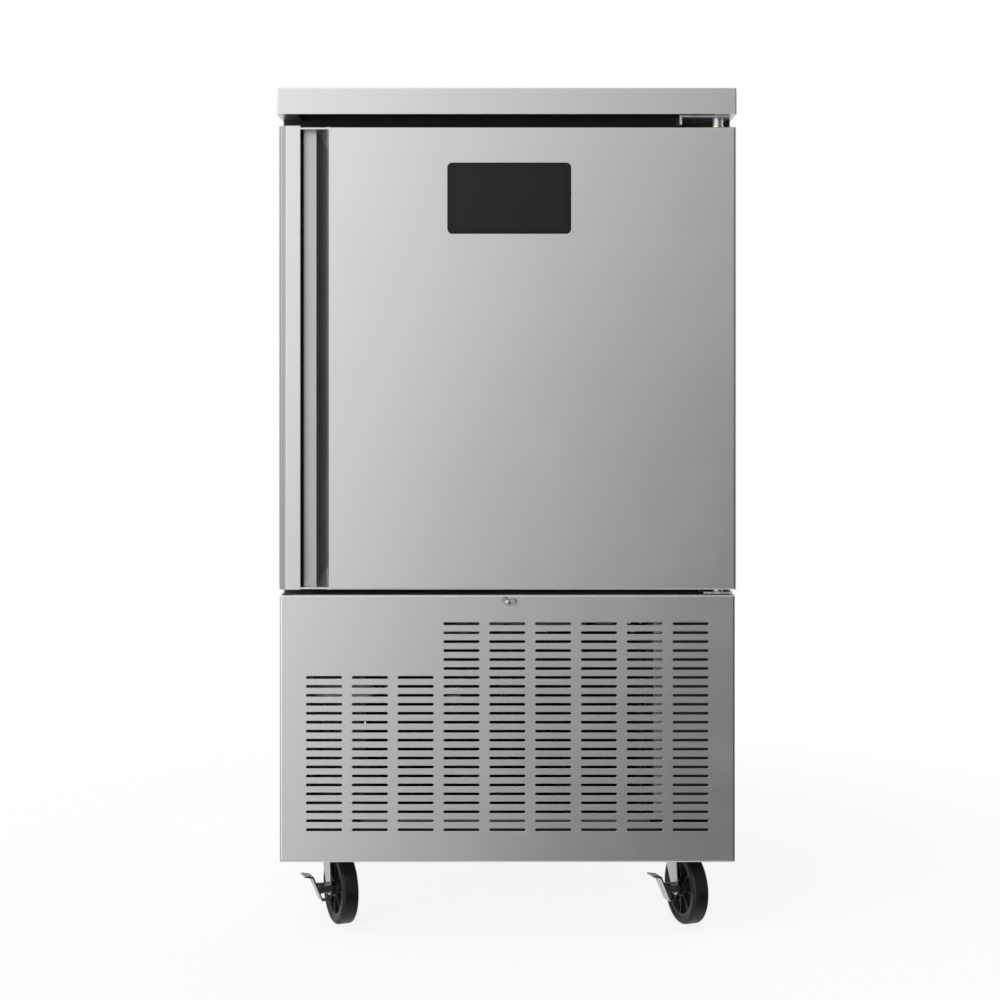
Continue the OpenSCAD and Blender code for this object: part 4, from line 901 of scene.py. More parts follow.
def coil(node, width, depth, height, tubes, ends):  # fins, end plates and the bends of the tubes
    s = dict(coilSize, **coilSize[node])
    (x0, x1), (y0, y1), (z0, z1) = width, depth, height
    count = int((x1 - x0) / s["pitch"])
    gap = (x1 - x0) / count

    def fin(bm):  # one rippled fin with its thickness
        steps = 8
        line = [(0.35 if i % 2 else -0.35, y0 + (y1 - y0) * i / steps) for i in range(steps + 1)]
        outline = [(x - 0.09, y) for x, y in line] + [(x + 0.09, y) for x, y in reversed(line)]
        addPrism(bm, outline, 2, z0, z1)

    fins = repeat(gridTree, shape("fin", fin), s["look"], {
        "Columns": count - 1, "Rows": 1, "Start": Vector((x0 + gap, 0, 0)) * mm,
        "Step": Vector((gap, 0, 0)) * mm})
    place(node + "_fins", fins, "cabinet", s["slot"], s["look"], [node], 20)

    def plates(bm):  # folded outwards at the front
        front, back, foot, top = ends
        for x, left, right in ((x0 - s["plate"], s["fold"], 0), (x1, 0, s["fold"])):
            addBox(bm, (x, front, foot), (x + s["plate"], back, top), 0.3, 1)
            addBox(bm, (x - left, front, foot), (x + s["plate"] + right, front + 1.2, top), 0.3, 1)

    place(node + "_plates", shape("plates", plates), "cabinet", s["slot"], s["look"])

    def bends(bm):  # hairpins at both ends, a row of them for each pair of tubes
        step = (z1 - z0) / s["rows"]
        front, back = tubes
        for k in range(s["rows"]):
            z = z0 + step * (k + 0.5)
            hairpins = [(x0 - s["plate"], -s["reach"], back, z)]
            if k + 1 < s["rows"]:
                hairpins.append((x1 + s["plate"], s["reach"], front, z + step))
            for x, reach, y, end in hairpins:
                addTube(bm, [(x, front, z), (x + reach, front, z), (x + reach, y, end), (x, y, end)],
                        s["tube"], 9, 10, 4)

    place(node + "_bends", shape("bends", bends), "cabinet", s["bendSlot"], s["bendLook"])


def coils():
    lo, hi = span("evaporator_coil")
    coil("evaporator_coil", width=(-255, 255), depth=(246, 332), height=(lo.z + 2, hi.z - 2),
         tubes=(268, 310), ends=(242, hi.y, lo.z, hi.z))
    lo, hi = span("condenser_coil")
    coil("condenser_coil", width=(-195, 235), depth=(lo.y + 6, hi.y - 2), height=(182, hi.z - 2),
         tubes=(lo.y + 18, hi.y - 14), ends=(lo.y + 4, hi.y, 180, hi.z))


coils()
print("coils done")


hingeHead = {"head": 11, "rise": 3.2, "recess": 5.5, "depth": 1.6}


def hingeScrews():
    lo, hi = span("hinge_screws")
    hinge = [(lo.x + 5.5, lo.y + 3, hi.z - 5.5, frontTurn), (lo.x + 35.5, lo.y + 3, hi.z - 5.5, frontTurn),
             (hi.x - 31.5, lo.y + 4, lo.z + 5.5, frontTurn), (hi.x - 5.5, lo.y + 4, lo.z + 5.5, frontTurn)]
    heads = repeat(markTree, shape("hinge_head", lambda bm: screwHead(bm, hingeHead)), "zinc", {},
                   marks(hinge))

    def shanks(bm):
        for x, y, z, _ in hinge:
            addLathe(bm, [(0, 0), (2.9, 0), (2.9, 15), (1.5, 17), (0, 17)], (x, y, z), (0, 1, 0), 14)

    place("hinge_screw_set", joined("hinge_screw_set", heads, shape("shanks", shanks)), "cabinet",
          "zinc_steel", "zinc", ["hinge_screws"])


def coverScrews():
    back, cowl, grille = span("back_panel"), span("fan_cowl"), span("rear_grille")
    rows = [back[0].z + 30 + i * (back[1].z - back[0].z - 60) / 4 for i in range(5)]
    spots = [(x, back[1].y, z, backTurn) for z in rows for x in (back[0].x + 14, back[1].x - 14)]
    spots += [(x, back[1].y, z, backTurn) for x in (-130, 130) for z in (rows[0], rows[-1])]
    spots += [(x, cowl[0].y, z, frontTurn) for x in (cowl[0].x + 12, cowl[1].x - 12)
              for z in (cowl[0].z + 24, (cowl[0].z + cowl[1].z) / 2, cowl[1].z - 24)]
    spots += [(x, grille[0].y + 1.5, z, backTurn) for x in (grille[0].x + 14, 0, grille[1].x - 14)
              for z in (grille[0].z + 18, grille[1].z - 18)]
    place("cover_screws", repeat(markTree, screwMesh, "zinc", {}, marks(spots)), "cabinet", "zinc_steel",
          "zinc")


hingeScrews()
coverScrews()
print("screws done")


pocketSize = {"film": 0.5, "clear": 0.3, "grip": 5.0, "depth": 39.4, "backX": -356.0, "gripX": -359.3,
              "end": 3.3}


def pocketLiningAndShade(bm):  # black lining of the finger room behind the grip, a dark sheet that also stands in as painted shade deep in the groove
    s = pocketSize
    lo, hi = span("handle_end_caps")
    channel, _ = span("handle_channel")
    x0, y0, y1 = lo.x + s["clear"], channel.y + s["grip"] + s["clear"], lo.y + s["depth"]
    gripX, backX, film = s["gripX"] - 0.4, s["backX"] - 0.4, s["film"]
    outline = [(gripX, y0), (x0, y0), (x0, y1), (backX, y1), (backX, y1 - film), (x0 + film, y1 - film),
               (x0 + film, y0 + film), (gripX, y0 + film)]
    addPrism(bm, outline, 2, lo.z + s["end"], hi.z - s["end"])


# the black lining is partly painted shade in the groove
place("handle_pocket", shape("handle_pocket", pocketLiningAndShade), "door", "black_plastic", "plastic")


gasketSize = {
    "outerCorner": 12.0,
    "profile": [(0, 0.0), (0.4, 3.0), (1.6, 5.4), (1.2, 7.6), (2.6, 10.0), (5.6, 11.4), (9.6, 11.5),
                (12.4, 10.6), (13.4, 8.4), (12.6, 6.6), (14.6, 5.2), (16.4, 7.8), (18.6, 8.2), (19.6, 6.2),
                (19.2, 3.0), (20, 0.0)],
}


def doorGasket(bm):  # bellows with a magnet chamber, closed all round
    lo, hi = span("door_gasket")
    rings = []
    for inset, rise in gasketSize["profile"]:
        corner = max(gasketSize["outerCorner"] - inset * 0.3, 4)
        rings.append([Vector((x, lo.y + rise, z)) * mm for x, z in
                      roundRect(lo.x + inset, hi.x - inset, lo.z + inset, hi.z - inset, corner, 6)])
    joinRings(bm, rings, loop=True)


place("door_seal", shape("door_seal", doorGasket), "door", "gasket_rubber", "gasket", ["door_gasket"])
print("door trim done")


rackSize = {"bar": 12.0, "ends": 10.0, "ledge": 18.0, "sheet": 3.0, "first": 22.0, "pitch": 65.0,
            "levels": 10, "upstand": 12.0}


def trayRack(side):
    node = "tray_rack_left" if side < 0 else "tray_rack_right"
    s = rackSize
    lo, hi = span(node)
    inner = hi.x if side < 0 else lo.x  # edge of the ledges
    wall = lo.x if side < 0 else hi.x
    bar0 = inner + side * s["ledge"]
    spacer = abs(wall - bar0) - s["bar"] - 0.2
    bars = [lo.y + s["ends"], (lo.y + hi.y) / 2, hi.y - s["ends"] - s["bar"]]

    def ladder(bm):
        for y in bars:
            a, b = sorted((bar0, bar0 + side * s["bar"]))
            addBox(bm, (a, y, lo.z), (b, y + s["bar"], hi.z), 1.6, 3)
            for z in (lo.z + 20, hi.z - 20):
                addLathe(bm, [(0, 0), (5, 0), (5, 14), (8, 15), (8, spacer), (0, spacer)],
                         (bar0 + side * s["bar"], y + s["bar"] / 2, z), (side, 0, 0), 20)

    def runner(bm):  # a ledge with an upstand at the bars and a lip along its inner edge
        a, b = sorted((inner, bar0 - side * 0.2))
        addBox(bm, (a, lo.y, 1.2), (b, hi.y, s["sheet"]), 0.8, 2)
        lip = sorted((inner, inner + side * 1.6))
        addBox(bm, (lip[0], lo.y, 0), (lip[1], hi.y, s["sheet"] - 0.2), 0.6, 2)
        up = sorted((bar0 - side * 0.2, bar0 - side * 1.7))
        addBox(bm, (up[0], lo.y, 1.2), (up[1], hi.y, s["upstand"]), 0.5, 2)

    rise = Vector((0, 0, s["pitch"])) * mm
    runners = repeat(gridTree, shape("runner", runner), "chamber", {
        "Columns": s["levels"], "Rows": 1, "Start": Vector((0, 0, lo.z + s["first"])) * mm, "Step": rise})
    mesh = joined(node, shape("ladder", ladder), runners)
    place(node + "_ladder", mesh, "cabinet", "chamber_steel", "chamber", [node])


trayRack(-1)
trayRack(1)
print("tray racks done")


louvreSize = {"width": 262.0, "reach": 7.0, "height": 11.0, "sheet": 1.0, "middle": 170.0, "first": 127.0,
              "pitch": 18.0, "rows": 16}


def louvreHood(bm):  # pressed hood over one slot, opening downwards
    s = louvreSize
    half = s["width"] / 2
    rings = []
    across = 6
    for x, share in ((-half, 0.0), (-half + 2.5, 0.55), (-half + 7, 0.9), (-half + 12, 1.0),
                     (half - 12, 1.0), (half - 7, 0.9), (half - 2.5, 0.55), (half, 0.0)):
        ring = []
        for i in range(across):
            t = math.radians(90 * i / (across - 1))
            rise = 3.6 + s["height"] * 0.6 * math.cos(t) * (0.3 + 0.7 * share)
            rise -= s["height"] * 0.78 * share * math.sin(t)
            ring.append(Vector((x, s["reach"] * share * math.sin(t), rise)) * mm)
        for p in list(reversed(ring)):
            inward = max(p.y / mm - s["sheet"], 0.0)
            ring.append(Vector((p.x, inward * mm, p.z - s["sheet"] * 0.4 * mm)))
        rings.append(ring)
    joinRings(bm, rings, capFirst=True, capLast=True)


def rearLouvres():
    s = louvreSize
    lo, _ = span("rear_grille")
    start = Vector((-s["middle"], lo.y + 1.5, lo.z + s["first"])) * mm
    hoods = repeat(gridTree, shape("hood", louvreHood), "satinFront", {
        "Columns": 2, "Rows": s["rows"], "Start": start, "Step": Vector((2 * s["middle"], 0, 0)) * mm,
        "Row Step": Vector((0, 0, s["pitch"])) * mm})
    place("rear_louvres", hoods, "cabinet", "satin_steel", "satinFront")


rearLouvres()
print("rear louvres done")


compressorSize = {"shell": 94.0, "shoulder": 44.0, "foot": 30.0, "seam": 165.0, "feet": 12.0, "back": 99,
                  "footPlaces": (91, 75)}


def compressorAxis():
    lo, hi = span("compressor")
    return (lo.x + hi.x) / 2, hi.y - compressorSize["back"]


def compressorShape(bm):
    s = compressorSize
    lo, hi = span("compressor")
    cx, cy = compressorAxis()
    z0 = lo.z + s["feet"]
    seam = z0 + s["seam"]
    r = s["shell"]
    profile = [(0, z0)] + arcPoints(r - s["foot"], z0 + s["foot"], s["foot"], -90, 0)
    profile += [(r, seam - 7), (r + 1.6, seam - 5), (r + 4.4, seam - 4), (r + 4.8, seam),
                (r + 4.4, seam + 3.6), (r + 1.2, seam + 4.6), (r, seam + 7)]
    profile += arcPoints(r - s["shoulder"], hi.z - s["shoulder"], s["shoulder"], 0, 90) + [(0, hi.z)]
    addLathe(bm, profile, (cx, cy, 0), (0, 0, 1), 72)
    addPrism(bm, roundRect(lo.x + 0.5, hi.x - 0.5, cy - 89, cy + 89, 16, 4), 2, z0, z0 + 5, 1.0, 2)
    addBox(bm, (cx - 41, lo.y + 8, z0 + 91), (cx + 41, cy - 70, z0 + 159), 7, 3)
    addBox(bm, (cx - 42, lo.y + 0.5, z0 + 90), (cx + 42, lo.y + 9, z0 + 160), 3.5, 3)
    for x in (-30, 30):
        addLathe(bm, [(0, 0), (5, 0), (4.4, 1.6), (0, 1.8)],
                 (cx + x, lo.y + 0.6, z0 + 150), (0, -0.25, 0), 16)
    for i in range(3):
        addLathe(bm, [(0, 0), (9, 0), (9, 3), (6, 5), (0, 5)],
                 (cx + 60 * math.cos(i * 2.1), cy + 60 * math.sin(i * 2.1), hi.z - 14), (0, 0, 1), 20)


def compressorFeet(bm):
    lo, _ = span("compressor")
    cx, cy = compressorAxis()
    right, back = compressorSize["footPlaces"]
    profile = [(0, 0), (11, 0), (12, 1.5), (12, 4), (8.5, 5), (8.5, 7), (12, 8), (12, 11), (11, 12), (0, 12)]
    for x in (-right, right):
        for y in (-back, back):
            addLathe(bm, profile, (cx + x, cy + y, lo.z), (0, 0, 1), 24)


place("compressor_shell", shape("compressor_shell", compressorShape), "cabinet", "black_paint", "paintBlack",
      ["compressor"])
place("compressor_feet", shape("compressor_feet", compressorFeet), "cabinet", "gasket_rubber", "gasket")


def receiverShape(bm):
    lo, hi = span("receiver")
    cx, cy, r = (lo.x + hi.x) / 2, (lo.y + hi.y) / 2, (hi.x - lo.x) / 2
    can0, can1 = lo.z + 10, hi.z - 16
    profile = [(0, lo.z), (r - 15, lo.z), (r - 15, lo.z + 12), (r - 18, can0 + 6)]
    profile += arcPoints(r - 28.8, can0 + 30, 28, -60, 0, 6)
    profile += [(r - 0.8, can0 + 40), (r, can0 + 42), (r, can0 + 47), (r - 0.8, can0 + 49),
                (r - 0.8, can1 - 49), (r, can1 - 47), (r, can1 - 42), (r - 0.8, can1 - 40)]
    profile += arcPoints(r - 30.8, can1 - 30, 30, 0, 90, 8)
    profile += [(13, can1), (13, can1 + 4), (10, can1 + 5), (0, can1 + 5)]
    addLathe(bm, profile, (cx, cy, 0), (0, 0, 1), 56)
    addPrism(bm, hexagon(21, cx, cy), 2, can1 + 4, hi.z, 1.0, 2)
    addLathe(bm, [(0, 0), (7, 0), (7, 6), (5, 8), (0, 8)], (cx + 22, cy, can1 - 4), (0, 0, 1), 18)


place("receiver_can", shape("receiver_can", receiverShape), "cabinet", "black_paint", "paintBlack",
      ["receiver"])

drierSize = {"length": 105.0, "stub": 14.0, "stubRadius": 6.5}


def drierShape(bm):
    s = drierSize
    lo, hi = span("filter_drier")
    r = (hi.z - lo.z) / 2
    y, z = lo.y + r, (lo.z + hi.z) / 2
    q, stub, long = s["stubRadius"], s["stub"], s["length"]
    x0 = hi.x - stub - long
    profile = [(0, -stub), (q, -stub), (q, -2), (r * 0.62, 3), (r * 0.9, 9), (r, 15), (r, 22), (r - 0.6, 23),
               (r - 0.6, long - 23), (r, long - 22), (r, long - 15), (r * 0.9, long - 9),
               (r * 0.62, long - 3), (q, long + 2), (q, long + stub), (0, long + stub)]
    addLathe(bm, profile, (x0, y, z), (1, 0, 0), 40)
    addPrism(bm, onCircle(y, z, r + 1.4, range(0, 360, 12)), 0, x0 + 42, x0 + 58, 0.5, 2)
    addBox(bm, (x0 + 40, y + r - 2, z - 10), (x0 + 60, y + r + 3, z + 10), 0.8, 2)
    addBox(bm, (lo.x, y + r + 3, z - 10), (x0 + 60, y + r + 5, z + 10), 0.5, 1)


place("drier_body", shape("drier_body", drierShape), "cabinet", "zinc_steel", "paintLight", ["filter_drier"])
print("compressor, receiver and drier done")


lineSize = {"gas": 10.0, "liquid": 8.0, "suction": 16.0, "sleeve": 26.0, "bend": 22.0, "pass": 300.0,
            "underRoof": 88.5, "overReceiver": 24, "overCompressor": 34, "suctionRise": 132}


def refrigerantLines():
    s = lineSize
    comp, recv, cond, drier, evap = (span(n) for n in
                                     ("compressor", "receiver", "condenser_coil", "filter_drier",
                                      "evaporator_coil"))
    (cx, cy), top = compressorAxis(), comp[1].z
    rx, ry, rtop = (recv[0].x + recv[1].x) / 2, (recv[0].y + recv[1].y) / 2, recv[1].z
    right, left, cz, cfront = cond[1].x - 8, cond[0].x + 52, cond[1].z - 18, cond[0].y + 18
    dr = (drier[1].z - drier[0].z) / 2
    dy, dz, dx1 = drier[0].y + dr, (drier[0].z + drier[1].z) / 2, drier[1].x
    dx0 = dx1 - drierSize["length"] - 2 * drierSize["stub"]
    roof = span("chamber_liner")[0].z - s["underRoof"]
    headX, headY, headZ = evap[1].x, evap[1].y - 30, evap[0].z + 30
    passX = passY = s["pass"]
    over, line, low = rtop + s["overReceiver"], top + s["overCompressor"], comp[0].z + s["suctionRise"]
    gas = [[(cx, cy, top - 4), (cx, cy, line), (right, cy, line), (right, cfront, line), (right, cfront, cz)],
           [(left, cfront, cz), (left, cfront, cz + 16), (left, ry, cz + 16), (rx, ry, cz + 16),
            (rx, ry, rtop - 2)]]
    liquid = [[(rx + 22, ry, rtop - 20), (rx + 22, ry, over), (rx + 22, ry - 100, over),
               (dx1 + 10, ry - 100, over), (dx1 + 10, dy, over), (dx1 + 10, dy, dz), (dx1 - 6, dy, dz)],
              [(dx0 + 6, dy, dz), (dx0 - 16, dy, dz), (dx0 - 16, dy, roof), (dx0 - 16, passY, roof),
               (-passX, passY, roof), (-passX, passY, headZ), (-headX, headY, headZ)]]
    suction = [(headX, headY, headZ), (passX, passY, headZ), (passX, passY, low), (cx + 115, cy, low),
               (cx + 93, cy, low)]

    def copper(bm):
        for path in gas:
            addTube(bm, path, s["gas"], s["bend"], 14)
        for path in liquid:
            addTube(bm, path, s["liquid"], 14, 12)
        addTube(bm, suction, s["suction"], 26, 18)
        for at, way in (((cx, cy, top - 1), (0, 0, 1)), ((cx + 94, cy, low), (1, 0, 0))):
            addLathe(bm, [(0, 0), (13, 0), (12.4, 3), (9.5, 6), (9.5, 16), (0, 16)], at, way, 24)
        for x in (-1, 1):  # headers of the evaporator
            at = x * (headX - 8)
            addTube(bm, [(at, headY, evap[0].z + 22), (at, headY, evap[1].z - 40)], 14, 5, 14)

    def sleeves(bm):
        addTube(bm, [(passX, passY, roof + 28), (passX, passY, low + 40)], s["sleeve"], 5, 20)
        addTube(bm, [(right, cy - 30, line), (right, cfront, line), (right, cfront, cz - 1)], 15, 16, 16)
        addTube(bm, [(dx1 + 10, ry - 130, over), (dx1 + 10, dy, over), (dx1 + 10, dy, dz + 8)], 13, 12, 14)

    place("refrigerant_lines", shape("lines", copper), "cabinet", "copper", "copper", ["refrigerant_pipes"])
    place("line_sleeves", shape("sleeves", sleeves), "cabinet", "gasket_rubber", "gasket")


refrigerantLines()


sealSize = {
    "strip": 2, "stripFoot": 20, "stripTop": 32, "foot": 5, "lip": 2, "sill": 1.6, "sillDrop": 9, "rise": 9,
    "side": 4.4, "sideWidth": 11, "sideFoot": 22, "webFront": 9.0, "webBack": 8.1, "webFoot": 29,
    "webTop": 45,
}


def airStrip(bm):  # painted strip along the condenser's foot
    lo, hi = span("condenser_coil")
    s = sealSize
    addBox(bm, (lo.x, lo.y, lo.z + s["stripFoot"]), (hi.x, lo.y + s["strip"], lo.z + s["stripTop"]), 0.5, 1)


# black strips that seal gaps and also stand in as painted shade in them: under the condenser's foot, in front
# of the base plate, a sill under the door and behind the lower panel's side folds; the strip over the top
# hinge's web is painted shade only
def sealAndShadeStrips(bm):
    s = sealSize
    coil, coilEnd = span("condenser_coil")
    addBox(bm, (coil.x, coil.y + 1, coil.z), (coilEnd.x, coil.y + s["foot"], coil.z + s["stripFoot"] - 0.5),
           1.2, 2)
    base, baseEnd = span("base_plate")
    addBox(bm, (base.x + 20, base.y - s["lip"], coil.z + 0.5),
           (baseEnd.x - 20, base.y - 0.1, baseEnd.z + 0.4), 0.8, 2)
    frame, frameEnd = span("front_frame")
    hinge = span("hinge_bracket_bottom")[0]
    back = min(frame.y, span("side_panel_left")[0].y) - 0.1
    addBox(bm, (frame.x + 1, back - s["sill"], frame.z - s["sillDrop"]),
           (hinge.x - 1.5, back, frame.z + s["rise"]), 0.6, 1)
    foot, top = base.z + s["sideFoot"], frame.z - s["sillDrop"] - 0.5
    for x in (-1, 1):  # behind the lower panel's side folds
        inner, outer = sorted((x * (frameEnd.x - s["sideWidth"]), x * frameEnd.x))
        addBox(bm, (inner, back - s["side"], foot), (outer, back, top), 0.8, 1)
    # a black strip over the top hinge's web, as painted shade
    bracket, end = span("hinge_bracket_top")
    addBox(bm, (bracket.x + 3, end.y - s["webFront"], bracket.z + s["webFoot"]),
           (end.x + 4, end.y - s["webBack"], bracket.z + s["webTop"]), 0.3, 1)


place("condenser_strip", shape("strip", airStrip), "cabinet", "black_fins", "paintGrey")
# black strips, partly painted shade in the gaps
place("cabinet_seals", shape("seals", sealAndShadeStrips), "cabinet", "gasket_rubber", "frame")
print("refrigerant lines done")


boxSize = {"feet": 30, "screw": {"head": 6.5, "rise": 1.8, "recess": 3.4, "depth": 0.9}, "ribs": 7, "rib": 6,
           "ribPitch": 16, "firstRib": 60}


def electricalBox():
    s = boxSize
    lo, hi = span("electrical_box")
    z0 = lo.z + s["feet"]

    def body(bm):
        addBox(bm, (lo.x, lo.y + 3.2, z0), (hi.x, hi.y, hi.z), 1.2, 2)
        for x in (lo.x + 14, hi.x - 30):
            addBox(bm, (x, hi.y - 30, lo.z), (x + 16, hi.y - 27, z0 + 1), 0.4, 1)

    def lid(bm):
        addBox(bm, (lo.x + 16, lo.y + 1.2, z0 + 0.6), (hi.x - 1, lo.y + 3.1, hi.z - 0.6), 0.8, 2)
        for i in range(s["ribs"]):
            z = z0 + s["firstRib"] + i * s["ribPitch"]
            addBox(bm, (lo.x + 40, lo.y, z), (hi.x - 30, lo.y + 1.6, z + s["rib"]), 0.7, 1)

    heads = marks([(x, lo.y + 1.9, z, frontTurn)
                   for x in (lo.x + 24, hi.x - 10) for z in (lo.z + 42, hi.z - 12)])
    small = shape("lid_screw", lambda bm: screwHead(bm, s["screw"], 12))
    mesh = joined("electrical_box", shape("box", body), repeat(markTree, small, "zinc", {}, heads))
    place("electrical_case", mesh, "cabinet", "zinc_steel", "zinc", ["electrical_box"])
    place("electrical_lid", shape("lid", lid), "cabinet", "dark_paint", "paintDark")


electricalBox()


wingSize = {"left": 0.95, "height": 584.0, "tilt": 12, "front": 1.2, "back": 3.9}


def wingScrew():
    s = wingSize
    lo, hi = span("wing_screw")
    face = span("front_panel")[0].y
    cx, cz = (lo.x + hi.x) / 2 - s["left"], s["height"]

    def body(bm):
        addLathe(bm, [(0, 0), (3.2, 0), (5.0, 0.8), (5.5, 2.2), (5.1, 6.0), (5.5, 8.4), (5.5, 9.6), (0, 9.6)],
                 (cx, lo.y, cz), (0, 1, 0), 32)
        addLathe(bm, [(0, 0), (3, 0), (3, hi.y - face - 2), (2.2, hi.y - face), (0, hi.y - face)],
                 (cx, face - 0.6, cz), (0, 1, 0), 20)
        addLathe(bm, [(3, 0), (5.5, 0), (5.5, 2), (3, 2)], (cx, face + 1.9, cz), (0, 1, 0), 24)

    def ears(bm):
        outline = ([(2.0, 7.6), (5.5, 9.2)] + onCircle(9.0, 5.0, 5.0, range(80, -101, -20))
                   + [(5.0, 0.6), (2.0, 0.2)])
        tilt = Matrix.Rotation(math.radians(s["tilt"]), 4, "Y")
        for side in (1, -1):
            part = bmesh.new()
            addPrism(part, [(side * x, z) for x, z in outline], 1,
                     lo.y + s["front"], lo.y + s["back"], 1.0, 3)
            part.transform(Matrix.Translation(Vector((cx, 0, cz - 2)) * mm) @ tilt)
            mesh = bpy.data.meshes.new("ear")
            part.to_mesh(mesh)
            part.free()
            bm.from_mesh(mesh)

    place("wing_screw_body", joined("wing", shape("stud", body), shape("ears", ears)), "panel_screw",
          "zinc_steel", "bright", ["wing_screw"], 50)


wingScrew()
print("electrical box and wing screw done")


casterSize = {"trail": 35.0, "axle": 63.5, "wheel": 63.5, "tyre": 30.0, "hub": 51.0, "hubWidth": 26.0,
              "leg": 19.5, "legSheet": 3.0, "yoke": 134.5, "race": 146.1, "bolts": (38.0, 28.0),
              "plate": 153.0, "base": 160.0}


def casterPlace(name):  # the caster's own axes: X along the axle, origin on the swivel line at the floor
    joints = {j["name"]: j for j in frame["joints"]}
    swivel, roll = joints["swivel_" + name], joints["roll_" + name]
    turn = math.atan2(roll["axis"][1], roll["axis"][0])
    if abs(turn) > math.pi / 2:
        turn -= math.copysign(math.pi, turn)
    x, y, _ = swivel["pos_m"]
    return Matrix.Translation((x, y, 0)) @ Matrix.Rotation(turn, 4, "Z")


def band(points, thick):  # outline of a folded strip along these points
    pts = [Vector(p) for p in points]
    left, right = [], []
    for i, p in enumerate(pts):
        a = (p - pts[i - 1]).normalized() if i else None
        b = (pts[i + 1] - p).normalized() if i + 1 < len(pts) else None
        way = ((a or b) + (b or a)).normalized()
        side = Vector((-way.y, way.x))
        reach = thick / 2 / max(side.dot(Vector((-(a or b).y, (a or b).x))), 0.4)
        left.append(tuple(p + side * reach))
        right.append(tuple(p - side * reach))
    return left + list(reversed(right))


def wheelRim(bm):
    s = casterSize
    r, w = s["hub"], s["hubWidth"] / 2
    half = [(5.05, -w), (14.5, -w), (15, -w + 0.6), (16, -5), (r - 9, -5), (r - 6.5, -w + 1), (r - 5.5, -w),
            (r, -w)]
    profile = half + [(a, -b) for a, b in reversed(half)] + [half[0]]
    addLathe(bm, profile, (0, -s["trail"], s["axle"]), (1, 0, 0), 56)
    for side in (-1, 1):
        addLathe(bm, [(5.05, 0.2), (11.6, 0.2), (12.05, 0.7), (12.05, 5.4), (11.6, 5.9), (5.05, 5.9),
                      (5.05, 0.2)],
                 (side * w, -s["trail"], s["axle"]), (side, 0, 0), 32)


def wheelRibs():
    s = casterSize

    def rib(bm):
        for side in (-1, 1):
            a, b = sorted((side * 4.5, side * (s["hubWidth"] / 2 - 1.5)))
            addBox(bm, (14.6, -1.3, a), (s["hub"] - 6.2, 1.3, b), 0.5, 1)

    ribs = repeat(ringTree, shape("rib", rib), "hub", {"Count": 8})
    centre = Matrix.Translation(Vector((0, -s["trail"], s["axle"])) * mm)
    ribs.transform(centre @ Matrix.Rotation(math.radians(90), 4, "Y"))
    return ribs


def tyreRound(bm):
    s = casterSize
    w, r, inner = s["tyre"] / 2, s["wheel"], s["hub"]
    side = [(inner, -w + 2.2), (inner + 1.4, -w + 0.6), (inner + 3, -w)]
    shoulder = arcPoints(r - 6, 0, 6, 0, 90, 7)
    half = side + [(a, -w + 6 - b) for a, b in reversed(shoulder)]
    profile = half + [(r, -w / 3), (r, w / 3)] + [(a, -b) for a, b in reversed(half)] + [half[0]]
    addLathe(bm, profile, (0, -s["trail"], s["axle"]), (1, 0, 0), 72)


def forkShape(brake):
    def fill(bm):
        s = casterSize
        t, y0, z0 = s["legSheet"], -s["trail"], s["axle"]
        arc = onCircle(y0, z0, 12, range(180, 331, 15))
        leg = [(-37, s["yoke"] + 4)] + arc + [(17, s["yoke"] - 6), (17, s["yoke"] + 4)]
        for side in (-1, 1):
            a, b = sorted((side * s["leg"], side * (s["leg"] + t)))
            addPrism(bm, leg, 0, a, b, 0.7, 2)
            nut = hexagon(15, y0, z0)
            c, d = sorted((side * (s["leg"] + t), side * (s["leg"] + t + 6.9)))
            addPrism(bm, nut, 0, c, d, 0.8, 2)
        reach = s["leg"] + t
        addPrism(bm, roundRect(-reach, reach, -37, 17, 5, 4), 2, s["yoke"], s["yoke"] + 4, 1.0, 2)
        addLathe(bm, [(8.1, s["yoke"] + 2), (26.5, s["yoke"] + 2), (27, s["yoke"] + 6),
                      (26.4, s["race"] - 4.6), (24.6, s["race"] - 3.4), (25.6, s["race"] - 2.2),
                      (25, s["race"]), (8.1, s["race"]), (8.1, s["yoke"] + 2)], (0, 0, 0), (0, 0, 1), 48)
        addLathe(bm, [(0, -reach), (4.9, -reach), (4.9, reach), (0, reach)], (0, y0, z0), (1, 0, 0), 24)
        if brake:
            for side in (-1, 1):
                y = y0 + (9 if side > 0 else -12)
                addBox(bm, (-34, y, z0 - 3.5), (-reach + 0.5, y + 3, z0 + 8.5), 0.6, 2)
                addLathe(bm, [(0, 0), (2, 0), (2, 4), (0, 4)], (-30, y0 + side * 10.6, z0 + 2.5),
                         (0, side, 0), 16)
    return fill


leverSize = {"half": 14.2, "sheet": 2.4, "side": [(-71.2, 28.6), (-68, 26.9), (-55, 25.5), (-37, -19)],
             "tooth": [(-37.6, -18.8), (-21.5, -20.5)], "pad": [(-63, 27.6), (-57, 26.9)], "padSheet": 2.0,
             "pivot": (-30, 2.5), "lug": 12.0}


def leverShape(bm):
    s, c = leverSize, casterSize
    y, z = -c["trail"], c["axle"]

    def fold(points, thick):
        return band([(across, z + up) for across, up in points], thick)

    addPrism(bm, fold(s["side"], s["sheet"]), 1, y - s["half"], y + s["half"], 0.8, 2)
    addPrism(bm, fold(s["tooth"], s["sheet"]), 1, y - 7, y + 7, 0.5, 2)
    ear = onCircle(s["pivot"][0], z + s["pivot"][1], 5, range(-90, 91, 20)) + [(-48.6, z + 9), (-42, z - 5)]
    for k in (-1, 1):
        a, b = sorted((y + k * (s["lug"] + 0.4), y + k * s["half"]))
        addPrism(bm, ear, 1, a, b, 0.4, 1)
    addPrism(bm, fold(s["pad"], s["padSheet"]), 1, y - 9, y + 9, 0.7, 2)


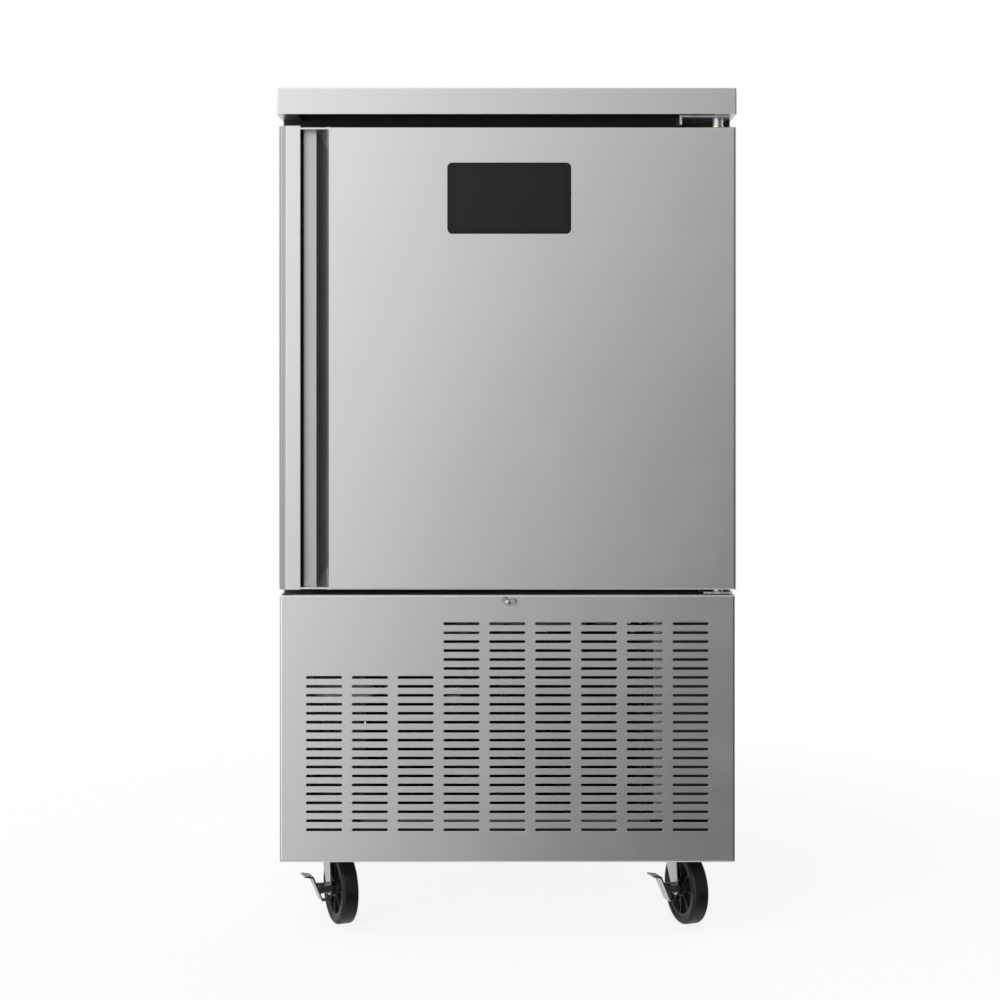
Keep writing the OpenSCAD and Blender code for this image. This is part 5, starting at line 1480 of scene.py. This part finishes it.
def casters():
    s = casterSize
    ribs = wheelRibs()
    spots = []
    for name in casterNames:
        at = casterPlace(name)
        rim = joined("hub_" + name, shape("rim", wheelRim), ribs)
        tyre = shape("tyre_" + name, tyreRound)
        fork = shape("fork_" + name, forkShape(name.startswith("front")))
        for mesh in (rim, tyre, fork):
            mesh.transform(at)
        place("wheel_hub_" + name, rim, "wheel_" + name, "black_plastic", "hub", ["hub_" + name])
        place("wheel_tyre_" + name, tyre, "wheel_" + name, "tyre_rubber", "tyre", ["tyre_" + name])
        place("caster_fork_" + name, fork, "caster_" + name, "zinc_steel", "bright", ["fork_" + name])
        if name.startswith("front"):
            side = name.split("_")[1]
            lever = shape("lever_" + side, leverShape)
            lever.transform(at)
            place("brake_pedal_" + side, lever, "brake_" + side, "zinc_steel", "bright",
                  ["brake_lever_" + side])
        x, y = at.translation.x / mm, at.translation.y / mm
        for dx in (-s["bolts"][0], s["bolts"][0]):
            for dy in (-s["bolts"][1], s["bolts"][1]):
                spots += [(x + dx, y + dy, s["plate"], (180, 0, 0)), (x + dx, y + dy, s["base"], (0, 0, 0))]
    place("caster_bolt_set", repeat(markTree, boltMesh, "zinc", {}, marks(spots)), "cabinet", "zinc_steel",
          "zinc", ["caster_bolts"])


casters()
print("casters done")


viewSize = {"eye": (-11.7, -3607.5, 970.0), "lens": 66.3, "sensor": 36.0, "shift": (0.0, -0.119)}
lampSize = {"at": (-2.2, -2.6, 3.4), "aim": (0, 0, 0.8), "size": 3.0, "energy": 26}


def studio():
    camera = bpy.data.objects.new("camera", bpy.data.cameras.new("camera"))
    camera.location = Vector(viewSize["eye"]) * mm
    camera.rotation_euler = (math.radians(90), 0, 0)
    camera.data.lens = viewSize["lens"]
    camera.data.sensor_width = viewSize["sensor"]
    camera.data.shift_x, camera.data.shift_y = viewSize["shift"]
    camera.data.clip_start, camera.data.clip_end = 0.05, 60
    bpy.context.scene.collection.objects.link(camera)
    bpy.context.scene.camera = camera

    lamp = bpy.data.objects.new("soft_lamp", bpy.data.lights.new("soft_lamp", "AREA"))
    lamp.data.shape, lamp.data.size, lamp.data.energy = "SQUARE", lampSize["size"], lampSize["energy"]
    lamp.location = lampSize["at"]
    lamp.rotation_euler = (Vector(lampSize["aim"]) - lamp.location).to_track_quat("-Z", "Y").to_euler()
    lamp.visible_glossy = False
    bpy.context.scene.collection.objects.link(lamp)


studioTones = {  # tone of the studio by compass degrees, 0 straight in front of the door and 90 to its right
    "round": [(-180, 0.40), (-110, 0.38), (-80, 0.50), (-60, 0.85), (-45, 1.0), (-20, 0.94), (-8, 0.57),
              (0, 0.27), (10, 0.07), (20, 0.0), (75, 0.0), (95, 0.2), (120, 0.40), (180, 0.40)],
    "gain": 2.2,
    "steeper": 4.6,  # how much faster it falls off from left to right towards the ground
    "swing": 0.17,  # how far the fall-off moves to the left there
    "low": 0.12,
    "rise": 2.2,  # how much lighter it gets upwards
    "heights": (-0.45, 0.13),  # between these heights
    "least": 0.02,
    "most": 1.9,
    "ground": 1.0,  # the white ground, seen by faces that look down
}


def surroundings():
    world = bpy.data.worlds.new("studio")
    bpy.context.scene.world = world
    world.use_nodes = True
    world.node_tree.nodes.clear()
    g = Graph(world.node_tree)
    where = g.here("Generated")
    x, y, z = (g.part(where, axis) for axis in range(3))
    s = studioTones
    down = g.clamp(-z, 0.0, s["low"])
    turn = x.math("ARCTAN2", -y) * (down * s["steeper"] + 1.0) + down * s["swing"]
    compass = g.clamp(turn, -math.pi, math.pi) / (2 * math.pi) + 0.5
    tone = g.ramp(compass, [(degrees / 360 + 0.5, value) for degrees, value in s["round"]]) * s["gain"]
    tone = g.clamp(tone + g.clamp(z, *s["heights"]) * s["rise"], s["least"], s["most"])
    ground = g.clamp(z * -4.0 - 2.4) * s["ground"]
    tone = tone.math("MAXIMUM", ground)
    behind = g.clamp(y * 3.0 - 0.6)  # mirrored and refracted rays see the white only behind the chiller
    shown = g.ray("Is Camera Ray") + (g.ray("Is Glossy Ray") + g.ray("Is Transmission Ray")) * behind
    light = g.node("ShaderNodeBackground", {}, {"Color": tone, "Strength": 1.0})
    white = g.node("ShaderNodeBackground", {}, {"Color": grey(1.0), "Strength": 1.0})
    mixed = g.node("ShaderNodeMixShader", {}, {0: g.clamp(shown), 1: light, 2: white})
    g.node("ShaderNodeOutputWorld", {}, {"Surface": mixed})


floorSize = {"radius": 1.7, "clear": 1.0, "shade": 0.14}


def studioFloor():
    s = floorSize

    def disc(bm):
        bmesh.ops.create_circle(bm, cap_ends=True, segments=96, radius=s["radius"])

    mesh = shape("studio_floor", disc)
    if mesh.polygons[0].normal.z < 0:
        mesh.flip_normals()
    material = bpy.data.materials.new("studio_floor")
    material.use_nodes = True
    material.node_tree.nodes.clear()
    g = Graph(material.node_tree)
    far = g.node("ShaderNodeVectorMath", {"operation": "LENGTH"}, {0: g.here()}, "Value")
    fade = g.clamp((far - s["clear"]) / (s["radius"] - s["clear"] - 0.1))
    camera, glossy = g.ray("Is Camera Ray"), g.ray("Is Glossy Ray")
    matt = g.node("ShaderNodeBsdfDiffuse", {}, {"Color": grey(0.8)})
    glow = g.node("ShaderNodeEmission", {}, {"Color": grey(1.0), "Strength": 1.0})
    clear = g.node("ShaderNodeBsdfTransparent")
    seen = g.node("ShaderNodeMixShader", {}, {0: (1 - s["shade"]) + fade * s["shade"], 1: matt, 2: glow})
    other = g.node("ShaderNodeMixShader", {}, {0: fade.math("MAXIMUM", glossy), 1: matt, 2: clear})
    whole = g.node("ShaderNodeMixShader", {}, {0: camera, 1: other, 2: seen})
    g.node("ShaderNodeOutputMaterial", {}, {"Surface": whole})
    mesh.materials.append(material)
    floor = bpy.data.objects.new("studio_floor", mesh)
    bpy.context.scene.collection.objects.link(floor)


studio()
surroundings()
studioFloor()
bpy.context.scene.view_settings.view_transform = "Standard"
print("studio done")
